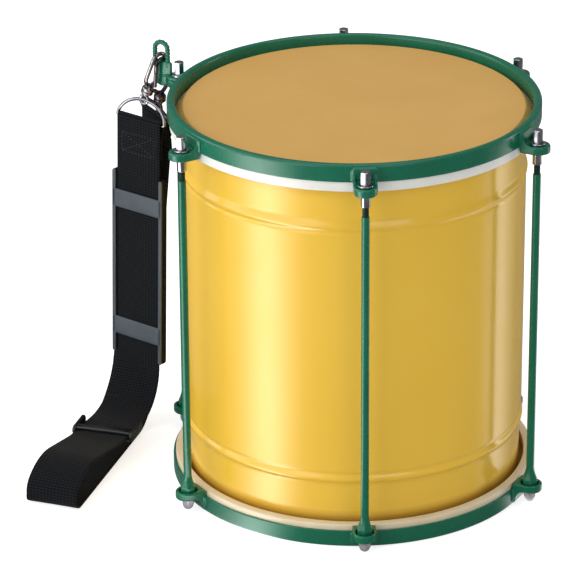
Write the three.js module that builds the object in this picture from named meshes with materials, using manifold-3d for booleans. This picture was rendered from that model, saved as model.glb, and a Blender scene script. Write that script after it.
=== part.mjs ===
// A two-headed Brazilian hand drum with six tension rods, hung on a webbing shoulder strap.
// Millimetres, +Z up. The origin is the middle of the upper (batter) head's playing face.

import * as THREE from 'three';
import { mergeVertices } from 'three/addons/utils/BufferGeometryUtils.js';
import Module from 'manifold-3d';

const wasm = await Module();
wasm.setup();

// Clearances and facets
const seatGap = 0.3;
const cutOverrun = 2;
const drumFacets = 48;
const smallFacets = 12;
const hexFacets = 12;
const wireFacets = 8;
const arcSteps = 6;
const domeSteps = 3;
const halfTurn = Math.PI;
const quarterTurn = Math.PI / 2;
const fullTurn = Math.PI * 2;

// Whole drum
const drumHeight = 355.8;
const batterRecess = 6.8;
const resonantRecess = 4.2;
const lugCount = 6;
const firstLugAngle = -quarterTurn;
const lugStandoff = 11.5;
const strapLug = 4;

// Shell of rolled metal, with a rolled bead near each end
const shellRadius = 150.5;
const shellEndInset = 1.6;
const shellWall = 1.2;
const beadInset = 54;
const beadHalfHeight = 8;
const beadRise = 1.1;
const bearingEdgeRound = 0.8;

// Heads: a film with a sloping collar whose skirt is held in a metal ring
const filmThickness = 0.4;
const batterCollarDepth = 8;
const resonantCollarDepth = 6;
const skirtSpread = 6.3;
const skirtDepth = 4;
const fleshHoopSpread = 5.6;
const fleshHoopWidth = 7.6;
const fleshHoopHeight = 10;
const fleshHoopRound = 1.2;

// Counter hoops: an upright band with a rounded, turned-in free edge
const hoopWall = 1.9;
const hoopHeight = 16.3;
const hoopRimWidth = 7.2;
const hoopRimRound = 2.3;

// Ears on the hoops, one at each tension rod
const earWidth = 23.3;
const earFrontRadius = 11.2;
const earTopDrop = 14.3;
const earDepth = 6.7;
const earPlate = 2.4;
const earLegThickness = 2;
const earFillet = 3.6;
const earCornerRound = 1.6;
const earCupRadius = 7.9;
const earHoleRadius = 4.7;
const cheekThickness = 2.2;
const cheekReach = 9;
const cheekTopDrop = 2.4;

// Tension rods, their nuts and washers
const rodRadius = 3.5;
const threadRadius = 2.9;
const rodShoulderDrop = 41;
const rodTopDrop = 8;
const flareLength = 12;
const flareAcrossFlats = 12.7;
const flareRimLength = 2.4;
const flareLift = 3.4;
const nutAcrossFlats = 8.2;
const nutTopDrop = 0.8;
const nutChamfer = 0.7;
const nutShankRadius = 4.2;
const nutShankDrop = 32;
const nutBoreDepth = 26;
const washerRadius = 6.9;
const washerThickness = 1.6;
const footNutFlangeRadius = 6.5;
const footNutFlange = 1.7;
const footNutAcrossFlats = 10;
const footNutHexHeight = 4.6;
const footNutDomeHeight = 5.6;
const studLength = 7;

// Strap bracket: a base under one nut, an upright fin and a ribbed loop of rod
const bracketPlate = 3;
const bracketHalfWidth = 8.7;
const bracketTail = 6;
const finThickness = 3.6;
const finReach = 19.4;
const finTopDrop = 0;
const finDepth = 19.7;
const loopWire = 4.6;
const loopLegSpacing = 12.8;
const loopHeight = 22;
const loopRibs = 13;
const loopRibDepth = 0.35;

// Snap hooks
const hookWire = 3.8;
const hookInnerWidth = 10;
const hookInnerLength = 27;
const hookBarrelRadius = 5;
const hookBarrelLength = 9;
const hookShoulder = 3.5;
const hookNoseLength = 6;
const gateWire = 3.6;
const gateRoot = 2.4;
const swivelStemRadius = 2;
const swivelHeadRadius = 2.8;
const swivelHeadLength = 2.2;
const swivelNeckLength = 3.2;
const eyeRadius = 4.2;
const eyeWire = 3;
const eyeDrop = 6.5;
const hookTurn = 1.22;
const lowHookReach = 17.8;
const lowHookLean = 0.1;
const highHookReach = 21;
const highHookLift = 6.6;
const highHookLean = 0.36;
const highHookSway = 0.09;

// Strap rings, one sewn into each end of the webbing
const ringWire = 3.2;
const ringSlack = 5;
const ringHeight = 20.5;
const ringSteps = 16;

// Webbing and its run. X and Y are from the strap lug's axis, Z from the batter head
const webbingWidth = 50;
const webbingThickness = 1.8;
const webbingLap = 34;
const frontRunX = -37.5;
const frontRunY = 10.3;
const frontRunTopZ = -46.7;
const frontRunLean = 7;
const frontRunSway = 11;
const frontRunTurn = 0.66;
const backRunX = -30.1;
const backRunY = 23.1;
const backRunTopZ = -50.2;
const backRunNeck = 8;
const backNeckRadius = 12;
const backRunBelly = 7;
const backBellyDrop = 28;
const backBellyRadius = 40;
const backRunFootX = -55.7;
const backRunFootY = 31.6;
const backRunTurn = 0.66;
const foldX = -122.3;
const foldY = -162.5;
const foldHeight = 26;
const frontFootRadius = 34;
const backFootRadius = 60;
const floorClearance = 0.4;

// Shoulder pad that slides on the front run
const padLength = 178;
const padRailWidth = 4.1;
const padThickness = 9.3;
const padFrontLip = 3;
const padTopDrop = 56;
const padCornerRound = 4;
const padEdgeRound = 0.8;
const padBridgeHeight = 17;
const padBridgeInset = 21;
const padSlotPlay = 0.8;

// Three-bar slider on the lower run
const sliderCheekWidth = 3.6;
const sliderLength = 30;
const sliderCheekHeight = 7;
const sliderCheekRound = 1.5;
const sliderBarHeight = 2.2;
const sliderBarLength = 4.5;
const sliderPlace = 62;

// Widths, radii and heights that follow from the sizes above
const shellEndRadius = shellRadius - shellEndInset;
const skirtRadius = shellEndRadius + skirtSpread;
const fleshHoopRadius = skirtRadius + fleshHoopSpread;
const hoopRadius = fleshHoopRadius + hoopWall + seatGap;
const lugCircleRadius = hoopRadius + lugStandoff;
const ringBarLength = webbingWidth + ringSlack;
const slotWidth = webbingWidth + padSlotPlay;
const padWidth = slotWidth + padRailWidth * 2;
const sliderWidth = slotWidth + sliderCheekWidth * 2;
const batterHoopTopZ = batterRecess;
const resonantHoopFootZ = batterRecess - drumHeight;
const resonantFaceZ = resonantHoopFootZ + resonantRecess;
const headSpan = -resonantFaceZ;
const earTopZ = batterHoopTopZ - earTopDrop;
const footEarZ = resonantHoopFootZ + earTopDrop;
const floorZ = resonantHoopFootZ;
const lugPitch = fullTurn / lugCount;

// Proportions
const flareWaistShare = 0.45;
const bracketWaistShare = 0.66;
const hookNeckShare = 0.7;
const lapCornerShare = 0.98;
const foldCornerShare = 0.49;

// Materials
const finishes = {
  yellowPaint: { color: 0xf2bf2a, roughness: 0.22, metalness: 0.0 },
  greenPaint: { color: 0x0f5c43, roughness: 0.3, metalness: 0.0 },
  headFilm: { color: 0xcf9d55, roughness: 0.5, metalness: 0.0 },
  aluminium: { color: 0xd9d6d0, roughness: 0.35, metalness: 1.0 },
  chrome: { color: 0xd8d8dc, roughness: 0.12, metalness: 1.0 },
  darkMetal: { color: 0x55505a, roughness: 0.25, metalness: 1.0 },
  webbing: { color: 0x15171b, roughness: 0.85, metalness: 0.0 },
  padRubber: { color: 0x4b555f, roughness: 0.7, metalness: 0.0 },
  sliderPlastic: { color: 0x1b1e22, roughness: 0.4, metalness: 0.0 },
};

const materials = Object.fromEntries(
  Object.entries(finishes).map(([name, finish]) => [name, new THREE.MeshStandardMaterial(finish)]),
);

const model = new THREE.Group();

// Mesh helpers

// Keeps position only, joins equal vertices, drops collapsed triangles and turns the faces outwards
function welded(geometry) {
  const bare = new THREE.BufferGeometry();
  bare.setAttribute('position', geometry.getAttribute('position').clone());
  if (geometry.index) bare.setIndex(geometry.index.clone());
  const joined = mergeVertices(bare, 1e-4);
  const position = joined.getAttribute('position');
  const index = joined.index.array;
  const kept = [];
  const a = new THREE.Vector3();
  const b = new THREE.Vector3();
  const c = new THREE.Vector3();
  let volume = 0;
  for (let i = 0; i < index.length; i += 3) {
    const [p, q, r] = [index[i], index[i + 1], index[i + 2]];
    if (p === q || q === r || r === p) continue;
    kept.push(p, q, r);
    a.fromBufferAttribute(position, p);
    b.fromBufferAttribute(position, q);
    c.fromBufferAttribute(position, r);
    volume += a.dot(b.cross(c));
  }
  if (volume < 0) {
    for (let i = 0; i < kept.length; i += 3) [kept[i], kept[i + 1]] = [kept[i + 1], kept[i]];
  }
  joined.setIndex(kept);
  return joined;
}

function toSolid(geometry) {
  const closed = welded(geometry);
  return new wasm.Manifold(new wasm.Mesh({
    numProp: 3,
    vertProperties: new Float32Array(closed.getAttribute('position').array),
    triVerts: new Uint32Array(closed.index.array),
  }));
}

function toGeometry(solid) {
  const mesh = solid.getMesh();
  const geometry = new THREE.BufferGeometry();
  geometry.setAttribute('position', new THREE.BufferAttribute(new Float32Array(mesh.vertProperties), 3));
  geometry.setIndex(new THREE.BufferAttribute(new Uint32Array(mesh.triVerts), 1));
  geometry.computeVertexNormals();
  return geometry;
}

function joined(...geometries) {
  return geometries.map(toSolid).reduce((sum, solid) => sum.add(solid));
}

// A profile of [radius, height] points spun about Z
function spun(points, facets) {
  const profile = points.map(([radius, height]) => new THREE.Vector2(radius, height));
  return new THREE.LatheGeometry(profile, facets).rotateX(quarterTurn);
}

// A ring: the profile closes on itself
function spunRing(points, facets) {
  return spun([...points, points[0]], facets);
}

// A prism over a flat outline, from one height to another
function prism(shape, bottom, top, curveSegments = 6) {
  return new THREE.ExtrudeGeometry(shape, { depth: top - bottom, bevelEnabled: false, curveSegments })
    .translate(0, 0, bottom);
}

// A closed skin over rings of points, with flat caps unless the rings go round
function loft(rings, goesRound = false) {
  const count = rings[0].length;
  const positions = rings.flat().flatMap((point) => [point.x, point.y, point.z]);
  const index = [];
  const spans = goesRound ? rings.length : rings.length - 1;
  for (let i = 0; i < spans; i += 1) {
    const next = (i + 1) % rings.length;
    for (let j = 0; j < count; j += 1) {
      const k = (j + 1) % count;
      index.push(i * count + j, i * count + k, next * count + k);
      index.push(i * count + j, next * count + k, next * count + j);
    }
  }
  if (!goesRound) {
    const last = (rings.length - 1) * count;
    for (let j = 1; j < count - 1; j += 1) {
      index.push(0, j + 1, j);
      index.push(last, last + j, last + j + 1);
    }
  }
  const geometry = new THREE.BufferGeometry();
  geometry.setAttribute('position', new THREE.Float32BufferAttribute(positions, 3));
  geometry.setIndex(index);
  return geometry;
}

// A round wire along points that lie in the plane with the given normal
function wire(points, normal, radiusAt, goesRound = false) {
  const rings = points.map((point, i) => {
    const before = points[goesRound ? (i + points.length - 1) % points.length : Math.max(i - 1, 0)];
    const after = points[goesRound ? (i + 1) % points.length : Math.min(i + 1, points.length - 1)];
    const side = after.clone().sub(before).normalize().cross(normal);
    const radius = radiusAt(i);
    return Array.from({ length: wireFacets }, (_, j) => {
      const angle = (j / wireFacets) * fullTurn;
      return point.clone()
        .addScaledVector(side, radius * Math.cos(angle))
        .addScaledVector(normal, radius * Math.sin(angle));
    });
  });
  return loft(rings, goesRound);
}

function hexagon(acrossFlats) {
  const corner = acrossFlats / 2 / Math.cos(halfTurn / 6);
  const shape = new THREE.Shape();
  for (let i = 0; i < 6; i += 1) {
    const angle = (i / 6) * fullTurn + halfTurn / 6;
    const [x, y] = [corner * Math.cos(angle), corner * Math.sin(angle)];
    if (i === 0) shape.moveTo(x, y);
    else shape.lineTo(x, y);
  }
  shape.closePath();
  return shape;
}

function roundedRectangle(width, length, round) {
  const [x, y] = [width / 2, length / 2];
  const shape = new THREE.Shape();
  shape.moveTo(-x + round, -y);
  shape.lineTo(x - round, -y);
  shape.absarc(x - round, -y + round, round, -quarterTurn, 0);
  shape.lineTo(x, y - round);
  shape.absarc(x - round, y - round, round, 0, quarterTurn);
  shape.lineTo(-x + round, y);
  shape.absarc(-x + round, y - round, round, quarterTurn, halfTurn);
  shape.lineTo(-x, -y + round);
  shape.absarc(-x + round, -y + round, round, halfTurn, halfTurn + quarterTurn);
  return shape;
}

function box(low, high) {
  const size = high.map((value, axis) => value - low[axis]);
  return new THREE.BoxGeometry(...size)
    .translate(low[0] + size[0] / 2, low[1] + size[1] / 2, low[2] + size[2] / 2);
}

function add(name, geometry, finish, parent = model) {
  const shape = geometry instanceof THREE.BufferGeometry ? welded(geometry) : toGeometry(geometry);
  shape.computeVertexNormals();
  const mesh = new THREE.Mesh(shape, materials[finish]);
  mesh.name = name;
  parent.add(mesh);
  return mesh;
}

// A group whose local axes are the given directions
function placed(origin, xAxis, yAxis, zAxis) {
  const group = new THREE.Group();
  group.position.copy(origin);
  group.quaternion.setFromRotationMatrix(new THREE.Matrix4().makeBasis(xAxis, yAxis, zAxis));
  model.add(group);
  return group;
}

// Turns the upper end of the drum into the lower one: heights measured down become heights up
function lowerEnd() {
  const group = new THREE.Group();
  group.position.set(0, 0, resonantFaceZ);
  group.rotation.x = halfTurn;
  model.add(group);
  return group;
}

// Shell

// Outer line of one end, from the bearing edge to past the bead; depth is measured from the edge
function shellEndLine() {
  const crest = shellRadius + beadRise;
  const groove = shellEndRadius + (shellRadius - shellEndRadius) / 2;
  return [
    [shellEndRadius - bearingEdgeRound, 0],
    [shellEndRadius, bearingEdgeRound],
    [shellEndRadius, beadInset - beadHalfHeight],
    [crest, beadInset - beadHalfHeight / 4],
    [crest, beadInset + beadHalfHeight / 8],
    [groove, beadInset + beadHalfHeight / 2],
    [shellRadius, beadInset + beadHalfHeight],
  ];
}

function buildShell() {
  const inset = filmThickness + seatGap;
  const top = -inset;
  const bottom = -headSpan + inset;
  const line = shellEndLine();
  const outer = [
    ...line.map(([radius, depth]) => [radius, top - depth]),
    ...line.map(([radius, depth]) => [radius, bottom + depth]).reverse(),
  ];
  const inner = outer.slice(1, -1)
    .map(([radius, height]) => [radius - shellWall, height])
    .reverse();
  inner[0] = [inner[0][0], bottom];
  inner[inner.length - 1] = [inner[inner.length - 1][0], top];
  add('shell', spunRing([...outer, ...inner], drumFacets), 'yellowPaint');
}

// Heads, each in a frame whose zero is the film's outer face

function filmProfile(collar) {
  const edge = shellEndRadius + seatGap;
  const foot = -collar - skirtDepth;
  return [
    [0, 0],
    [edge - bearingEdgeRound, 0],
    [edge + filmThickness, -bearingEdgeRound],
    [skirtRadius + filmThickness, -collar],
    [skirtRadius + filmThickness, foot],
    [skirtRadius, foot],
    [skirtRadius, -collar],
    [edge, -bearingEdgeRound - filmThickness / 2],
    [edge - bearingEdgeRound, -filmThickness],
    [0, -filmThickness],
  ];
}

function fleshHoopProfile(collar) {
  const outer = fleshHoopRadius;
  const inner = fleshHoopRadius - fleshHoopWidth;
  const top = -collar;
  const bottom = top - fleshHoopHeight;
  const grooveFoot = top - skirtDepth - seatGap;
  const grooveInner = skirtRadius - seatGap;
  const grooveOuter = skirtRadius + filmThickness + seatGap;
  return [
    [grooveOuter, top],
    [outer, top],
    [outer, bottom + fleshHoopRound],
    [outer - fleshHoopRound, bottom],
    [inner, bottom],
    [inner, top],
    [grooveInner, top],
    [grooveInner, grooveFoot],
    [grooveOuter, grooveFoot],
  ];
}

function buildHead(name, collar, parent) {
  add(`${name}_film`, spun(filmProfile(collar), drumFacets), 'headFilm', parent);
  add(`${name}_flesh_hoop`, spunRing(fleshHoopProfile(collar), drumFacets), 'aluminium', parent);
}

// Counter hoops, in the same frame: recess is how far the free edge stands above the film

function bandProfile(recess, collar) {
  const inner = hoopRadius - hoopRimWidth;
  const round = hoopRimRound;
  const soft = round * (1 - Math.SQRT1_2);
  const foot = recess - hoopHeight;
  const innerFoot = -collar + seatGap;
  const under = recess - hoopWall;
  return [
    [hoopRadius, foot],
    [hoopRadius, recess - round],
    [hoopRadius - soft, recess - soft],
    [hoopRadius - round, recess],
    [inner + round, recess],
    [inner + soft, recess - soft],
    [inner, recess - round],
    [inner, innerFoot],
    [inner + hoopWall, innerFoot],
    [inner + hoopWall, under],
    [hoopRadius - hoopWall, under],
    [hoopRadius - hoopWall, foot],
  ];
}

// Plan of an ear: straight sides from the band and a front round the rod's axis
function earPlan(halfWidth, front, back) {
  const shape = new THREE.Shape();
  shape.moveTo(back, -halfWidth);
  shape.lineTo(0, -halfWidth);
  shape.absellipse(0, 0, front, halfWidth, -quarterTurn, quarterTurn);
  shape.lineTo(back, halfWidth);
  shape.closePath();
  return shape;
}

// Side view of an ear in [distance from the rod's axis, height]: leg, hollow fillet and tongue
function earSection(recess) {
  const back = hoopRadius - hoopWall / 2 - lugCircleRadius;
  const face = hoopRadius + earLegThickness - lugCircleRadius;
  const top = recess - earTopDrop;
  const shape = new THREE.Shape();
  shape.moveTo(back, recess - hoopRimRound);
  shape.lineTo(face - earLegThickness / 2, recess - hoopRimRound / 2);
  shape.lineTo(face, recess - hoopRimRound);
  shape.lineTo(face, top + earFillet);
  shape.absarc(face + earFillet, top + earFillet, earFillet, halfTurn, halfTurn + quarterTurn, false);
  shape.lineTo(earFrontRadius - earCornerRound, top);
  shape.lineTo(earFrontRadius, top - earCornerRound);
  shape.lineTo(earFrontRadius, top - earDepth + earCornerRound / 2);
  shape.lineTo(earFrontRadius - earCornerRound / 2, top - earDepth);
  shape.lineTo(back, top - earDepth);
  shape.closePath();
  return shape;
}

// Triangular side wall between the leg and the tongue
function cheekSection(recess) {
  const face = hoopRadius + earLegThickness / 2 - lugCircleRadius;
  const top = recess - earTopDrop;
  const shape = new THREE.Shape();
  shape.moveTo(face, recess - cheekTopDrop);
  shape.quadraticCurveTo(face + cheekReach / 4, top + earFillet / 2, face + cheekReach, top);
  shape.lineTo(face, top - earDepth / 2);
  shape.closePath();
  return shape;
}

// Stands a section of [X, height] up and spreads it along Y
function acrossEar(shape, from, to) {
  return new THREE.ExtrudeGeometry(shape, { depth: to - from, bevelEnabled: false, curveSegments: 4 })
    .rotateX(quarterTurn)
    .translate(0, to, 0);
}

function earSolid(recess) {
  const half = earWidth / 2;
  const top = recess - earTopDrop;
  const back = hoopRadius - hoopWall / 2 - lugCircleRadius;
  const plan = prism(
    earPlan(half, earFrontRadius, back - cutOverrun),
    top - earDepth - cutOverrun,
    recess + cutOverrun,
  );
  const cup = new THREE.CylinderGeometry(earCupRadius, earCupRadius, earDepth, smallFacets)
    .rotateX(quarterTurn)
    .translate(0, 0, top - earPlate - earDepth / 2);
  const hole = new THREE.CylinderGeometry(earHoleRadius, earHoleRadius, earDepth * 4, smallFacets)
    .rotateX(quarterTurn)
    .translate(0, 0, top);
  return joined(
    acrossEar(earSection(recess), -half, half),
    acrossEar(cheekSection(recess), -half, -half + cheekThickness),
    acrossEar(cheekSection(recess), half - cheekThickness, half),
  ).intersect(toSolid(plan)).subtract(toSolid(cup)).subtract(toSolid(hole));
}

function lugAngle(index) {
  return firstLugAngle + index * lugPitch;
}

function buildHoop(name, recess, collar, parent) {
  const ear = earSolid(recess);
  let hoop = toSolid(spunRing(bandProfile(recess, collar), drumFacets));
  for (let i = 0; i < lugCount; i += 1) {
    const degrees = THREE.MathUtils.radToDeg(lugAngle(i));
    hoop = hoop.add(ear.translate([lugCircleRadius, 0, 0]).rotate([0, 0, degrees]));
  }
  add(name, hoop, 'greenPaint', parent);
}

// Tension rods and nuts, each in a frame on its own axis

// A ring of points that blends from a circle to a hexagon as share goes from 0 to 1
function hexBlend(radius, acrossFlats, share, height) {
  return Array.from({ length: hexFacets }, (_, i) => {
    const angle = (i / hexFacets) * fullTurn;
    const sector = ((angle % lugPitch) + lugPitch) % lugPitch - lugPitch / 2;
    const flat = acrossFlats / 2 / Math.cos(sector);
    const reach = radius + (flat - radius) * share;
    return new THREE.Vector3(reach * Math.cos(angle), reach * Math.sin(angle), height);
  });
}

function rodGeometry() {
  const footZ = footEarZ + earPlate + seatGap;
  const rimTop = footEarZ + earDepth + flareLift;
  const studFoot = footEarZ - studLength;
  const shoulder = batterHoopTopZ - rodShoulderDrop;
  const top = batterHoopTopZ - rodTopDrop;
  const circle = (radius, height) => hexBlend(radius, flareAcrossFlats, 0, height);
  return loft([
    circle(threadRadius, studFoot),
    circle(threadRadius, footZ),
    hexBlend(rodRadius, flareAcrossFlats, 1, footZ),
    hexBlend(rodRadius, flareAcrossFlats, 1, rimTop),
    hexBlend(rodRadius, flareAcrossFlats, flareWaistShare, rimTop + flareLength / 2),
    circle(rodRadius, rimTop + flareLength),
    circle(rodRadius, shoulder),
    circle(threadRadius, shoulder + threadRadius / 4),
    circle(threadRadius, top),
  ]);
}

function nutSolid(seatZ, topZ) {
  const shankFoot = batterHoopTopZ - nutShankDrop;
  const corner = nutAcrossFlats / 2 / Math.cos(halfTurn / 6);
  const chamfered = spun([
    [0, seatZ],
    [corner, seatZ],
    [corner, topZ - nutChamfer],
    [corner - nutChamfer, topZ],
    [0, topZ],
  ], hexFacets);
  const shank = spun([
    [0, shankFoot],
    [nutShankRadius, shankFoot],
    [nutShankRadius, seatZ + seatGap],
    [0, seatZ + seatGap],
  ], smallFacets);
  const bore = spun([
    [0, shankFoot - cutOverrun],
    [threadRadius + seatGap, shankFoot - cutOverrun],
    [threadRadius + seatGap, shankFoot + nutBoreDepth],
    [0, shankFoot + nutBoreDepth],
  ], smallFacets);
  return toSolid(prism(hexagon(nutAcrossFlats), seatZ, topZ))
    .intersect(toSolid(chamfered))
    .add(toSolid(shank))
    .subtract(toSolid(bore));
}

function washerGeometry(seatZ) {
  const inner = nutShankRadius + seatGap;
  return spunRing([
    [inner, seatZ],
    [washerRadius, seatZ],
    [washerRadius, seatZ + washerThickness],
    [inner, seatZ + washerThickness],
  ], smallFacets);
}

function footNutSolid() {
  const top = footEarZ - seatGap;
  const hexTop = top - footNutFlange;
  const hexFoot = hexTop - footNutHexHeight;
  const domeRadius = footNutAcrossFlats / 2;
  const dome = Array.from({ length: domeSteps }, (_, i) => {
    const angle = (i / domeSteps) * quarterTurn;
    return [domeRadius * Math.cos(angle), hexFoot - footNutDomeHeight * Math.sin(angle)];
  });
  const body = spun([
    [0, top],
    [footNutFlangeRadius, top],
    [footNutFlangeRadius, hexTop],
    [domeRadius, hexTop],
    ...dome,
    [0, hexFoot - footNutDomeHeight],
  ], smallFacets);
  const bore = spun([
    [0, top + cutOverrun],
    [threadRadius + seatGap, top + cutOverrun],
    [threadRadius + seatGap, footEarZ - studLength - seatGap],
    [0, footEarZ - studLength - seatGap],
  ], smallFacets);
  return toSolid(prism(hexagon(footNutAcrossFlats), hexFoot, hexTop + seatGap))
    .add(toSolid(body))
    .subtract(toSolid(bore));
}

function buildTension() {
  const rod = rodGeometry();
  const foot = toGeometry(footNutSolid());
  for (let i = 0; i < lugCount; i += 1) {
    const lift = i === strapLug ? bracketPlate + seatGap : 0;
    const washerSeat = earTopZ + seatGap + lift;
    const nutSeat = washerSeat + washerThickness + seatGap;
    const nutTop = batterHoopTopZ - nutTopDrop + lift;
    const lug = new THREE.Group();
    lug.position.set(lugCircleRadius * Math.cos(lugAngle(i)), lugCircleRadius * Math.sin(lugAngle(i)), 0);
    lug.rotation.z = lugAngle(i);
    model.add(lug);
    add(`tension_rod_${i + 1}`, rod, 'greenPaint', lug);
    add(`tension_washer_${i + 1}`, washerGeometry(washerSeat), 'chrome', lug);
    add(`tension_nut_${i + 1}`, nutSolid(nutSeat, nutTop), 'chrome', lug);
    add(`foot_nut_${i + 1}`, foot, 'chrome', lug);
  }
}

// Strap bracket. Its frame: X outwards from the nut's axis, Y along the hoop, Z up

const loopTopZ = batterHoopTopZ + loopHeight;
const finTopZ = batterHoopTopZ - finTopDrop;

function finShape() {
  const half = (loopLegSpacing + loopWire) / 2;
  const shape = new THREE.Shape();
  shape.moveTo(finReach - half, finTopZ);
  shape.lineTo(finReach - half, finTopZ - finDepth + half);
  shape.absarc(finReach, finTopZ - finDepth + half, half, halfTurn, fullTurn, false);
  shape.lineTo(finReach + half, finTopZ);
  shape.closePath();
  return shape;
}

function loopGeometry() {
  const half = loopLegSpacing / 2;
  const crown = loopTopZ - loopWire / 2 - half;
  const leg = crown - finTopZ + loopWire;
  const path = [];
  const total = leg * 2 + halfTurn * half;
  const steps = loopRibs * 2;
  for (let i = 0; i <= steps; i += 1) {
    const along = (i / steps) * total;
    const turn = THREE.MathUtils.clamp((along - leg) / half, 0, halfTurn);
    const down = along < leg ? leg - along : Math.max(along - leg - halfTurn * half, 0);
    path.push(new THREE.Vector3(finReach - half * Math.cos(turn), 0, crown + half * Math.sin(turn) - down));
  }
  return wire(path, new THREE.Vector3(0, 1, 0), (i) => loopWire / 2 - (i % 2) * loopRibDepth);
}

function buildBracket() {
  const base = earTopZ + seatGap;
  const plan = new THREE.Shape();
  plan.moveTo(-bracketTail, -bracketHalfWidth);
  plan.lineTo(finReach / 3, -bracketHalfWidth);
  plan.lineTo(finReach * bracketWaistShare, -finThickness / 2);
  plan.lineTo(finReach, -finThickness / 2);
  plan.lineTo(finReach, finThickness / 2);
  plan.lineTo(finReach * bracketWaistShare, finThickness / 2);
  plan.lineTo(finReach / 3, bracketHalfWidth);
  plan.lineTo(-bracketTail, bracketHalfWidth);
  plan.closePath();
  const hole = new THREE.CylinderGeometry(earHoleRadius, earHoleRadius, bracketPlate * 4, smallFacets)
    .rotateX(quarterTurn)
    .translate(0, 0, base);
  const solid = joined(
    prism(plan, base, base + bracketPlate),
    acrossEar(finShape(), -finThickness / 2, finThickness / 2),
    loopGeometry(),
  ).subtract(toSolid(hole));
  const lug = new THREE.Group();
  const angle = lugAngle(strapLug);
  lug.position.set(lugCircleRadius * Math.cos(angle), lugCircleRadius * Math.sin(angle), 0);
  lug.rotation.z = angle;
  model.add(lug);
  add('strap_bracket', solid, 'greenPaint', lug);
}

// Snap hooks. Their frame: X across the hook, Y square to its plane, Z from barrel to nose

const hookArm = (hookInnerWidth + hookWire) / 2;
const hookShoulderZ = hookBarrelLength + hookShoulder;
const hookCrownZ = hookShoulderZ + hookInnerLength - hookInnerWidth / 2;
const hookInnerTopZ = hookShoulderZ + hookInnerLength;

function hookPath() {
  const points = [
    new THREE.Vector3(0, 0, hookBarrelLength - hookWire / 2),
    new THREE.Vector3(-hookArm / 2, 0, hookBarrelLength + hookShoulder / 4),
    new THREE.Vector3(-hookArm, 0, hookShoulderZ + hookWire / 2),
  ];
  const steps = 8;
  for (let i = 0; i <= steps; i += 1) {
    const angle = halfTurn * (1 - i / steps);
    points.push(new THREE.Vector3(hookArm * Math.cos(angle), 0, hookCrownZ + hookArm * Math.sin(angle)));
  }
  points.push(new THREE.Vector3(hookArm, 0, hookCrownZ - hookNoseLength));
  return points;
}

function hookBodySolid() {
  const path = hookPath();
  const arm = wire(path, new THREE.Vector3(0, 1, 0), () => hookWire / 2);
  const barrel = spun([
    [0, 0],
    [hookBarrelRadius - seatGap * 2, 0],
    [hookBarrelRadius, seatGap * 3],
    [hookBarrelRadius, hookBarrelLength - hookShoulder],
    [hookBarrelRadius * hookNeckShare, hookBarrelLength],
    [0, hookBarrelLength],
  ], smallFacets);
  const lug = wire([
    new THREE.Vector3(0, 0, hookBarrelLength - hookWire / 2),
    new THREE.Vector3(hookArm / 2, 0, hookBarrelLength + hookShoulder / 4),
    new THREE.Vector3(hookArm, 0, hookShoulderZ - seatGap),
  ], new THREE.Vector3(0, 1, 0), () => hookWire / 2);
  const chamberTop = swivelNeckLength + swivelHeadLength + seatGap * 2;
  const chamber = spun([
    [0, -cutOverrun],
    [swivelStemRadius + seatGap, -cutOverrun],
    [swivelStemRadius + seatGap, swivelNeckLength],
    [swivelHeadRadius + seatGap, swivelNeckLength],
    [swivelHeadRadius + seatGap, chamberTop],
    [0, chamberTop],
  ], smallFacets);
  return joined(arm, barrel, lug).subtract(toSolid(chamber));
}

// The gate pivots at its root, just above the lug, and closes against the nose
function gateGeometry() {
  const rootZ = hookShoulderZ + gateRoot;
  const tipZ = hookCrownZ - hookNoseLength - seatGap;
  const profile = [
    [0, rootZ],
    [gateWire / 2, rootZ + seatGap],
    [gateWire / 2, tipZ - gateWire / 4],
    [gateWire / 3, tipZ],
    [0, tipZ],
  ];
  return spun(profile, wireFacets + 2).translate(hookArm, 0, 0);
}

function swivelSolid() {
  const stem = spun([
    [0, -eyeDrop + eyeRadius],
    [swivelStemRadius, -eyeDrop + eyeRadius],
    [swivelStemRadius, swivelNeckLength + seatGap],
    [swivelHeadRadius, swivelNeckLength + seatGap],
    [swivelHeadRadius, swivelNeckLength + swivelHeadLength],
    [0, swivelNeckLength + swivelHeadLength],
  ], wireFacets + 2);
  const collar = spun([
    [0, -eyeDrop + eyeRadius],
    [swivelHeadRadius + seatGap, -eyeDrop + eyeRadius],
    [swivelHeadRadius + seatGap, -seatGap],
    [0, -seatGap],
  ], wireFacets + 2);
  const eye = new THREE.TorusGeometry(eyeRadius, eyeWire / 2, wireFacets, smallFacets)
    .rotateY(quarterTurn)
    .translate(0, 0, -eyeDrop);
  return joined(stem, collar, eye);
}

// crown is the inside of the hook's top; across is the direction from its back to its gate
function buildHook(number, crown, up, across, eyeAcross, finish) {
  const zAxis = up.clone().normalize();
  const xAxis = across.clone().addScaledVector(zAxis, -across.dot(zAxis)).normalize();
  const yAxis = zAxis.clone().cross(xAxis);
  const origin = crown.clone().addScaledVector(zAxis, -hookInnerTopZ);
  const hook = placed(origin, xAxis, yAxis, zAxis);
  add(`hook_body_${number}`, hookBodySolid(), finish, hook);
  add(`hook_gate_${number}`, gateGeometry(), finish, hook);
  const eyeX = eyeAcross.clone().addScaledVector(zAxis, -eyeAcross.dot(zAxis)).normalize();
  const swivel = placed(origin, eyeX, zAxis.clone().cross(eyeX), zAxis);
  add(`hook_swivel_${number}`, swivelSolid(), finish, swivel);
  return origin.clone().addScaledVector(zAxis, -eyeDrop);
}

const strapAngle = lugAngle(strapLug);
const outward = new THREE.Vector3(Math.cos(strapAngle), Math.sin(strapAngle), 0);
const alongHoop = new THREE.Vector3(-Math.sin(strapAngle), Math.cos(strapAngle), 0);
const upward = new THREE.Vector3(0, 0, 1);

function bracketPoint(reach, height) {
  return outward.clone().multiplyScalar(lugCircleRadius + reach).setZ(height);
}

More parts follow.
